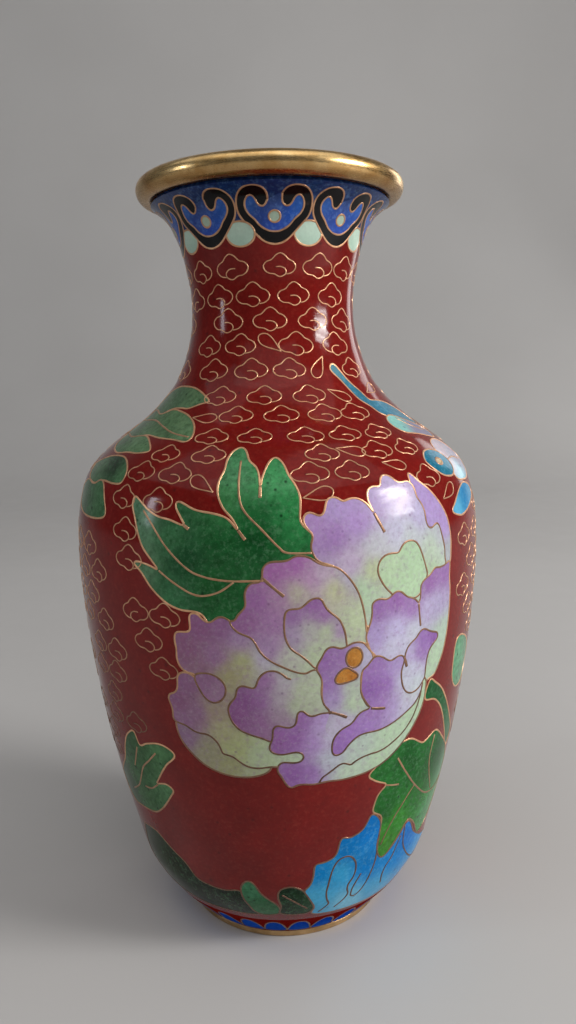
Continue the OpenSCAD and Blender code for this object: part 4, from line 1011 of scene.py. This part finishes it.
class Shader:
    """A material being built: a few short calls for the nodes that every finish here needs."""

    def __init__(self, name):
        self.material = bpy.data.materials.new(name)
        self.material.use_nodes = True
        self.tree = self.material.node_tree
        self.bsdf = self.tree.nodes["Principled BSDF"]
        self.coords = self.tree.nodes.new("ShaderNodeTexCoord").outputs["Object"]

    def link(self, a, b):
        self.tree.links.new(a, b)

    def noise(self, per_mm, detail=3.0, rough=0.55, stretch=None, offset=0.0):
        node = self.tree.nodes.new("ShaderNodeTexNoise")
        node.inputs["Scale"].default_value = per_mm / MM
        node.inputs["Detail"].default_value = detail
        node.inputs["Roughness"].default_value = rough
        place = self.tree.nodes.new("ShaderNodeMapping")
        place.inputs["Location"].default_value = (offset, offset * 0.7, -offset)
        place.inputs["Scale"].default_value = stretch or (1, 1, 1)
        self.link(self.coords, place.inputs["Vector"])
        self.link(place.outputs["Vector"], node.inputs["Vector"])
        return node.outputs["Fac"]

    def dots(self, per_mm):
        node = self.tree.nodes.new("ShaderNodeTexVoronoi")
        node.inputs["Scale"].default_value = per_mm / MM
        self.link(self.coords, node.inputs["Vector"])
        return node.outputs["Distance"]

    def curve(self, value, *stops):
        """A value through a ramp of (position, grey or colour) stops."""
        node = self.tree.nodes.new("ShaderNodeValToRGB")
        ramp = node.color_ramp
        for i, (at, tone) in enumerate(stops):
            stop = ramp.elements[i] if i < 2 else ramp.elements.new(at)
            stop.position = at
            stop.color = (tone, tone, tone, 1) if isinstance(tone, (int, float)) else (*tone, 1)
        self.link(value, node.inputs["Fac"])
        return node.outputs["Color"]

    def mix(self, kind, share, a, b):
        """Two colours mixed. A share or colour that is a socket is linked, else it is set."""
        node = self.tree.nodes.new("ShaderNodeMix")
        node.data_type = "RGBA"
        node.blend_type = kind
        for socket, value in ((node.inputs[0], share), (node.inputs[6], a), (node.inputs[7], b)):
            if isinstance(value, bpy.types.NodeSocket):
                self.link(value, socket)
            else:
                socket.default_value = value
        return node.outputs[2]

    def attribute(self, name, output):
        node = self.tree.nodes.new("ShaderNodeAttribute")
        node.attribute_name = name
        return node.outputs[output]

    def below(self, low, high, share):
        """A share that holds up to the low height, in mm, and falls to nothing at the high one."""
        split = self.tree.nodes.new("ShaderNodeSeparateXYZ")
        self.link(self.coords, split.inputs["Vector"])
        fall = self.tree.nodes.new("ShaderNodeMapRange")
        fall.inputs["From Min"].default_value = low * MM
        fall.inputs["From Max"].default_value = high * MM
        fall.inputs["To Min"].default_value = share
        fall.inputs["To Max"].default_value = 0.0
        self.link(split.outputs["Z"], fall.inputs["Value"])
        return fall.outputs["Result"]

    def bump(self, height, strength, distance_mm, onto=None):
        node = self.tree.nodes.new("ShaderNodeBump")
        node.inputs["Strength"].default_value = strength
        node.inputs["Distance"].default_value = distance_mm * MM
        self.link(height, node.inputs["Height"])
        if onto is not None:
            self.link(onto, node.inputs["Normal"])
        return node.outputs["Normal"]

    def finish(self, colour, roughness, normal_out, **fixed):
        self.link(colour, self.bsdf.inputs["Base Color"])
        self.link(roughness, self.bsdf.inputs["Roughness"])
        if normal_out is not None:
            self.link(normal_out, self.bsdf.inputs["Normal"])
        for name, value in fixed.items():
            self.bsdf.inputs[name.replace("_", " ")].default_value = value
        return self.material


def enamel(name, mottle=0.16, cloudy=0.14, speck=0.35, speck_tint=(0.05, 0.03, 0.03), speck_size=0.34,
           tint=None, tint_share=0.3, rough=0.1, grain=1.5, pale=None, pale_share=0.3, sheen=0.22):
    """Fired glass: cell colour with fine grain, broad cloudiness, dark specks, pits and polishing marks."""
    s = Shader(name)
    colour = s.attribute("paint", "Color")
    if tint is not None:
        where = s.curve(s.noise(grain * 0.8, 4, 0.7, offset=3.1), (0.5, 0.0), (0.66, tint_share))
        colour = s.mix("MIX", where, colour, (*tint, 1))
    if pale is not None:
        where = s.curve(s.noise(grain * 1.3, 4, 0.75, offset=8.3), (0.5, 0.0), (0.66, pale_share))
        colour = s.mix("MIX", where, colour, (*pale, 1))
    fine = s.curve(s.noise(grain, 4, 0.62), (0.3, 1 - mottle), (0.7, 1.0))
    colour = s.mix("MULTIPLY", 1.0, colour, fine)
    broad = s.curve(s.noise(0.16, 2, 0.5, offset=1.7), (0.32, 1 - cloudy), (0.7, 1.0))
    colour = s.mix("MULTIPLY", 1.0, colour, broad)
    spots = s.curve(s.dots(speck_size), (0.05, speck), (0.16, 0.0))
    colour = s.mix("MIX", spots, colour, (*speck_tint, 1))
    pits = s.curve(s.dots(2.6), (0.06, 0.0), (0.13, 1.0))
    gloss = s.curve(s.noise(0.5, 3, 0.6, offset=5.2), (0.3, rough), (0.75, rough + 0.09))
    uneven = s.bump(s.noise(0.34, 2, 0.5, offset=2.3), 0.35, 0.035)
    pitted = s.bump(pits, 0.25, 0.012, onto=uneven)
    polished = s.bump(s.noise(0.5, 3, 0.6, stretch=(0.35, 0.35, 3.5), offset=9.0), 0.3, 0.02, onto=pitted)
    return s.finish(colour, gloss, polished, IOR=1.5, Specular_IOR_Level=sheen)


def drawn_wire(name, painted_shade_below, painted_shade_share, motif_shade_share=0.7):
    """Thinly gilt copper wire, polished flush; painted shade turns it dark brown inside the motifs and
    towards the foot.
    """
    s = Shader(name)
    bright = s.curve(s.noise(0.9, 3, 0.6), (0.3, (0.66, 0.34, 0.18)), (0.7, (0.86, 0.51, 0.29)))
    shaded_tone = s.curve(s.noise(1.4, 3, 0.6, offset=2.0), (0.3, (0.05, 0.025, 0.018)), (0.7, (0.17, 0.09, 0.06)))
    # Painted shade: from the given height down to the foot the wire turns towards a dark brown, for dark
    # reflections.
    colour = s.mix("MIX", s.below(painted_shade_below - 16, painted_shade_below + 12, painted_shade_share), bright, shaded_tone)
    # Painted shade inside the motifs, read from the wire mesh's attribute.
    motif_shade = s.curve(s.attribute("shade_and_stain", "Fac"), (0.0, 0.0), (1.0, motif_shade_share))
    colour = s.mix("MIX", motif_shade, colour, shaded_tone)
    # Random dark stains on the wire.
    shade_and_stain = s.curve(s.noise(0.35, 4, 0.7, offset=4.4), (0.56, 0.0), (0.72, 0.5))
    colour = s.mix("MIX", shade_and_stain, colour, (0.22, 0.10, 0.06, 1))
    rough = s.curve(s.noise(2.5, 2), (0.3, 0.28), (0.7, 0.44))
    return s.finish(colour, rough, s.bump(s.noise(4, 2), 0.15, 0.01), Metallic=0.6)


def gilt(name, light, shade, rough, painted_shade_from=None):
    """Satin gilding with fine turned scratches and worn, browner patches; painted shade, a dark brown, below
    a height in mm.
    """
    s = Shader(name)
    colour = s.curve(s.noise(0.22, 4, 0.6), (0.3, shade), (0.62, light))
    wear = s.curve(s.noise(1.1, 5, 0.7, offset=6.0), (0.6, 0.0), (0.74, 0.5))
    colour = s.mix("MIX", wear, colour, (0.36, 0.19, 0.09, 1))
    # Painted shade: below the given height the gilding is mixed towards dark brown, for the dark reflection
    # under the bead.
    if painted_shade_from is not None:
        painted_shade = s.below(painted_shade_from - 1.7, painted_shade_from, 0.6)
        colour = s.mix("MIX", painted_shade, colour, (0.20, 0.085, 0.025, 1))
    scratch = s.noise(0.5, 4, 0.7, stretch=(1, 1, 14), offset=1.0)
    gloss = s.curve(scratch, (0.3, rough), (0.7, rough + 0.16))
    return s.finish(colour, gloss, s.bump(scratch, 0.3, 0.01), Metallic=1.0)


def copper(name):
    s = Shader(name)
    colour = s.curve(s.noise(0.3, 4, 0.6), (0.3, (0.50, 0.24, 0.14)), (0.7, (0.78, 0.45, 0.30)))
    rough = s.curve(s.noise(0.8, 3), (0.3, 0.38), (0.7, 0.58))
    return s.finish(colour, rough, s.bump(s.noise(0.25, 2), 0.4, 0.05), Metallic=1.0)


def lining(name):
    """Plain turquoise counter enamel, thinner and more uneven than the outside."""
    s = Shader(name)
    colour = s.curve(s.noise(0.22, 4, 0.65), (0.25, (0.05, 0.20, 0.36)), (0.5, (0.09, 0.32, 0.52)),
                     (0.75, (0.16, 0.42, 0.58)))
    spots = s.curve(s.dots(0.8), (0.05, 0.8), (0.14, 0.0))
    colour = s.mix("MIX", spots, colour, (0.02, 0.05, 0.08, 1))
    rough = s.curve(s.noise(0.5, 3), (0.3, 0.14), (0.7, 0.3))
    return s.finish(colour, rough, s.bump(s.noise(0.4, 3), 0.4, 0.05), Coat_Weight=0.4, IOR=1.5)


FINISHES = {
    "red": enamel("enamel_red", mottle=0.22, cloudy=0.2, speck=0.5, speck_tint=(0.03, 0.006, 0.005),
                  tint=(0.30, 0.035, 0.022), tint_share=0.35, rough=0.07),
    "petal": enamel("enamel_petal", mottle=0.2, cloudy=0.06, speck=0.4, speck_tint=(0.12, 0.05, 0.13),
                    speck_size=0.5, tint=(0.30, 0.13, 0.33), tint_share=0.3, rough=0.11, grain=1.3,
                    pale=(0.50, 0.50, 0.50), pale_share=0.22),
    "leaf": enamel("enamel_leaf", mottle=0.42, cloudy=0.3, speck=0.85, speck_tint=(0.004, 0.022, 0.008),
                   speck_size=0.42, tint=(0.012, 0.09, 0.02), tint_share=0.5, rough=0.11, grain=1.0,
                   pale=(0.20, 0.42, 0.24), pale_share=0.3, sheen=0.13),
    "blue": enamel("enamel_blue", mottle=0.2, cloudy=0.16, speck=0.5, speck_tint=(0.01, 0.06, 0.18),
                   tint=(0.16, 0.5, 0.72), tint_share=0.3, rough=0.11, sheen=0.06),
    "foot_blue": enamel("enamel_foot_blue", mottle=0.3, cloudy=0.18, speck=0.4, speck_tint=(0.01, 0.02, 0.12),
                        tint=(0.04, 0.16, 0.6), tint_share=0.3, rough=0.14, sheen=0.0),
    "foot_red": enamel("enamel_foot_red", mottle=0.22, cloudy=0.2, speck=0.5, speck_tint=(0.03, 0.006, 0.005),
                       tint=(0.30, 0.035, 0.022), tint_share=0.3, rough=0.14, sheen=0.0),
    "collar": enamel("enamel_collar", mottle=0.5, cloudy=0.3, speck=0.7, speck_tint=(0.01, 0.012, 0.03),
                     speck_size=0.7, tint=(0.12, 0.25, 0.50), tint_share=0.5, rough=0.14),
    "royal": enamel("enamel_royal", mottle=0.3, cloudy=0.18, speck=0.4, speck_tint=(0.01, 0.02, 0.12),
                    tint=(0.16, 0.32, 0.72), tint_share=0.4, rough=0.11),
    "black": enamel("enamel_black", mottle=0.3, cloudy=0.2, speck=0.4, speck_tint=(0.05, 0.035, 0.03),
                    rough=0.08),
    "pale": enamel("enamel_pale", mottle=0.12, cloudy=0.08, speck=0.25, speck_tint=(0.2, 0.25, 0.2),
                   rough=0.12),
    "orange": enamel("enamel_orange", mottle=0.34, cloudy=0.15, speck=0.6, speck_tint=(0.22, 0.09, 0.02),
                     speck_size=0.9, tint=(0.75, 0.45, 0.14), tint_share=0.4, rough=0.14),
    # Two copies of one wire with painted shade of different extent: the first darker from higher up and
    # inside motifs, the second less.
    "wire": drawn_wire("gilt_wire_front", 62, 0.8),
    "bright_wire": drawn_wire("gilt_wire_bright", 34, 0.9, motif_shade_share=0.35),
    "rim": gilt("gilt_rim", (0.95, 0.66, 0.30), (0.62, 0.35, 0.11), 0.2, painted_shade_from=148.2),
    "edge": gilt("gilt_edge", (0.74, 0.50, 0.25), (0.42, 0.25, 0.10), 0.3),
    "copper": copper("copper_sheet"),
    "lining": lining("lining_glaze"),
}


# ---------------------------------------------------------------- the pieces

def finished(piece, finish, node):
    piece.data.materials.clear()
    piece.data.materials.append(FINISHES[finish])
    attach(piece, "root")
    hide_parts(node)


def rim_profile():
    """A round bead with a slightly flatter top."""
    bead_r = (HEIGHT - RIM_LOW) / 2
    mid_r, mid_z = RIM_R - bead_r, HEIGHT - bead_r
    points = []
    count = 40
    for i in range(count):
        a = i * 2 * math.pi / count
        flatten = 0.94 if math.sin(a) > 0.7 else 1.0
        points.append((mid_r + (bead_r - 0.04) * math.cos(a),
                       mid_z + (bead_r - 0.02) * math.sin(a) * flatten))
    return points


def foot_profile():
    inner = FOOT_R - 3
    return [(inner, 0.25), (inner + 0.25, 0), (FOOT_R - 0.7, 0), (FOOT_R - 0.3, 0.08), (FOOT_R - 0.08, 0.3),
            (FOOT_R, 0.7), (FOOT_R, FOOT_EDGE - 0.1), (FOOT_R + 0.02, FOOT_EDGE), (FOOT_R - 1.6, FOOT_EDGE),
            (FOOT_R - 2, 4), (inner, 4)]


def lining_profile():
    """Down the inside of the wall and across the floor of the vase."""
    low = 5.0
    heights = np.linspace(low + 1.5, LIP_Z, 80)
    outer, inner = ([(-y, z) for _, y, z in on_skin(0 * heights, heights, -depth) if z < LIP_Z]
                    for depth in (ENAMEL + COPPER, ENAMEL + COPPER + LINING))
    floor_r = inner[0][0]
    return ([(0.3, low)] + [(floor_r * k, low) for k in (0.4, 0.8, 0.96)] + outer
            + inner[::-1] + [(floor_r * k, low + LINING + (0.5 if k > 0.9 else 0)) for k in (0.96, 0.8, 0.4)]
            + [(0.3, low + LINING)])


# Wires that take the copy with less painted shade.
BRIGHT_WIRES = ("collar_wires", "leaf_wires", "butterfly_wires", "foot_wires")


def build():
    """Draws every motif from the back to the front, and makes the pieces from them."""
    draw_grounds()
    draw_border()
    draw_collar()
    draw_rear()
    draw_upper_left_leaves()
    draw_lower_left_leaves()
    draw_foot_leaves()
    draw_right_leaf()
    draw_blue_flower()
    draw_butterfly()
    draw_spray()
    draw_peony()
    cloud_lines = clouds()
    uv, tris, cells = triangulate()
    dressed = {
        "border_ground": ("foot_red", "red_ground"), "body_ground": ("red", "red_ground"),
        "neck_ground": ("red", "red_ground"), "collar_enamel": ("collar", "collar_blue"),
        "ruyi_bands": ("black", "black_enamel"), "ruyi_hearts": ("royal", "royal_blue"),
        "ruyi_dots": ("pale", "pale_mint"), "collar_drops": ("pale", "pale_mint"),
        "peony_petals": ("petal", "mauve_petal"), "peony_stamens": ("orange", "orange_enamel"),
        "leaves": ("leaf", "leaf_green"), "blue_flower": ("blue", "sky_blue"),
        "butterfly": ("blue", "teal_wing"), "rear_blossom": ("petal", "rose_petal"),
        "foot_scallops": ("foot_blue", "border_blue")}
    for node, (finish, slot) in dressed.items():
        finished(enamel_piece(node + "_cells", node, uv, tris, cells), finish, node)
    ribbons = {}
    for node, points, closed, shade_and_stain in edge_chains(uv, tris, cells):
        line = resampled(points, closed, WIRE_STEP)
        ribbons.setdefault(node, []).append((line, WIRE_W, closed, carried(points, shade_and_stain, line)))
    # Open wires inside the motifs get full painted shade.
    for node, points, width in LINES:
        ribbons.setdefault(node, []).append((points, width, False, 1.0))
    for node, lines in ribbons.items():
        tone = "bright_wire" if node in BRIGHT_WIRES else "wire"
        finished(wire_piece(node + "_drawn", lines, MOTIF_SECTION), tone, node)
    # Cloud wires low on the body get some painted shade and the darker wire; those on the neck get none.
    upper = [(line, CLOUD_W, False, 0.0) for line in cloud_lines if line[:, 1].mean() > NECK_CLOUDS]
    lower = [(line, CLOUD_W, False, 0.3) for line in cloud_lines if line[:, 1].mean() <= NECK_CLOUDS]
    for name, lines, tone in (("cloud_wires_neck", upper, "bright_wire"),
                              ("cloud_wires_body", lower, "wire")):
        finished(wire_piece(name, lines, CLOUD_SECTION), tone, "cloud_wires")
    finished(turned("rim_bead", rim_profile(), wobble=0.018), "rim", "rim_ring")
    finished(turned("foot_band", foot_profile(), wobble=0.012), "edge", "foot_ring")
    finished(turned("lining_glaze", lining_profile(), count=128), "lining", "lining_enamel")
    for node, finish in (("body_shell", "copper"), ("neck_shell", "copper"), ("base_plate", "copper"),
                         ("base_enamel", "lining")):
        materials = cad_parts[node].data.materials
        materials.clear()
        materials.append(FINISHES[finish])


# ---------------------------------------------------------------- floor, light and camera

def pale_room():
    """A plain pale floor that curves up into a backdrop, in mm."""
    s = Shader("pale_floor")
    colour = s.curve(s.noise(0.004, 2), (0.3, (0.50, 0.49, 0.48)), (0.7, (0.54, 0.53, 0.52)))
    s.finish(colour, s.curve(s.noise(0.05, 2), (0.3, 0.5), (0.7, 0.6)), None)
    reach, front, back, bend, top = 3000, -2400, 1100, 500, 2400
    profile = [(front, 0.0), (0.0, 0.0), (back - bend, 0.0)]
    steps = 12
    for i in range(1, steps + 1):
        a = i / steps * math.pi / 2
        profile.append((back - bend + bend * math.sin(a), bend - bend * math.cos(a)))
    profile.append((back, top))
    co = [(x, y, z) for y, z in profile for x in (-reach, reach)]
    faces = [(2 * i, 2 * i + 1, 2 * i + 3, 2 * i + 2) for i in range(len(profile) - 1)]
    mesh = meshed("backdrop", co, faces)
    mesh.materials.append(s.material)
    linked("backdrop", mesh)


AIM_Z = 0.08


def soft_light(name, azimuth, elevation, distance, width, tall, watts, colour, mirrored_in_gloss=True):
    """A rectangular light that looks at the vase. Azimuth 0 is the camera's side."""
    data = bpy.data.lights.new(name, "AREA")
    data.shape = "RECTANGLE"
    data.size, data.size_y = width, tall
    data.energy = watts
    data.color = colour
    lamp = linked(name, data)
    lamp.visible_glossy = mirrored_in_gloss
    lamp.visible_camera = False
    a, e = azimuth * DEG, elevation * DEG
    target = Vector((0, 0, AIM_Z))
    way = Vector((math.sin(a) * math.cos(e), -math.cos(a) * math.cos(e), math.sin(e)))
    lamp.location = target + way * distance
    lamp.rotation_euler = way.to_track_quat("Z", "Y").to_euler()


DAYLIGHT = (1.0, 0.98, 0.96)


def lights():
    """A slatted window on the right, a narrow one on the left, faint glows above, and a broad fill."""
    # Each slat: degrees above the window's middle, width, share of the light, degrees aside
    slats = [(-7.5, 0.26, 0.7, 1.5), (-3.8, 0.34, 1.0, -0.8), (-1.0, 0.20, 1.3, 1.0), (1.8, 0.36, 0.9, 0.0),
             (5.0, 0.24, 1.1, -1.4), (7.8, 0.32, 0.6, 0.8)]
    for i, (rise, width, share, turn) in enumerate(slats):
        soft_light("window_right_" + str(i + 1), 71 + turn, 21 + rise, 1.0, width, 0.034, 1.5 * share,
                   DAYLIGHT)
    soft_light("window_left", -74, 14, 1.2, 0.1, 0.3, 1.2, (0.86, 0.92, 1.0))
    soft_light("glow_in_front", -5, 56, 1.5, 1.8, 1.0, 3.4, (1.0, 0.97, 0.93))
    soft_light("glow_right", 48, 66, 1.4, 1.5, 1.1, 3.2, (1.0, 0.97, 0.95))
    soft_light("glow_left", -80, 58, 1.4, 1.0, 0.8, 1.3, (0.95, 0.97, 1.0))
    soft_light("edge_right", 138, 15, 1.1, 0.25, 0.5, 1.0, DAYLIGHT)
    soft_light("front_fill", 8, 34, 1.5, 1.4, 0.9, 3.9, DAYLIGHT, mirrored_in_gloss=False)
    world = bpy.data.worlds.new("studio")
    world.use_nodes = True
    sky = world.node_tree.nodes["Background"]
    sky.inputs["Color"].default_value = (0.9, 0.94, 1.0, 1)
    sky.inputs["Strength"].default_value = 0.1
    bpy.context.scene.world = world


def camera():
    """The view fitted to the picture's outline: a little above the belly, tipped down, slightly rolled."""
    place = Vector((0.0, -0.1674, 0.1114))
    down, roll, yaw = 9.372 * DEG, -1.244 * DEG, -0.761 * DEG
    ahead = Vector((-math.sin(yaw), math.cos(yaw), 0))
    level = Vector((math.cos(yaw), math.sin(yaw), 0))
    top = Vector((0, 0, 1))
    forward = ahead * math.cos(down) - top * math.sin(down)
    upright = ahead * math.sin(down) + top * math.cos(down)
    right = level * math.cos(roll) + upright * math.sin(roll)
    up = upright * math.cos(roll) - level * math.sin(roll)
    data = bpy.data.cameras.new("camera")
    data.sensor_width = 36
    data.lens = 28.22
    data.clip_start = 0.01
    eye = linked("camera", data)
    turn = Matrix((right, up, -forward)).transposed()
    eye.matrix_world = Matrix.Translation(place) @ turn.to_4x4()
    bpy.context.scene.camera = eye


build()
pale_room()
lights()
camera()
bpy.context.scene.view_settings.view_transform = "Standard"
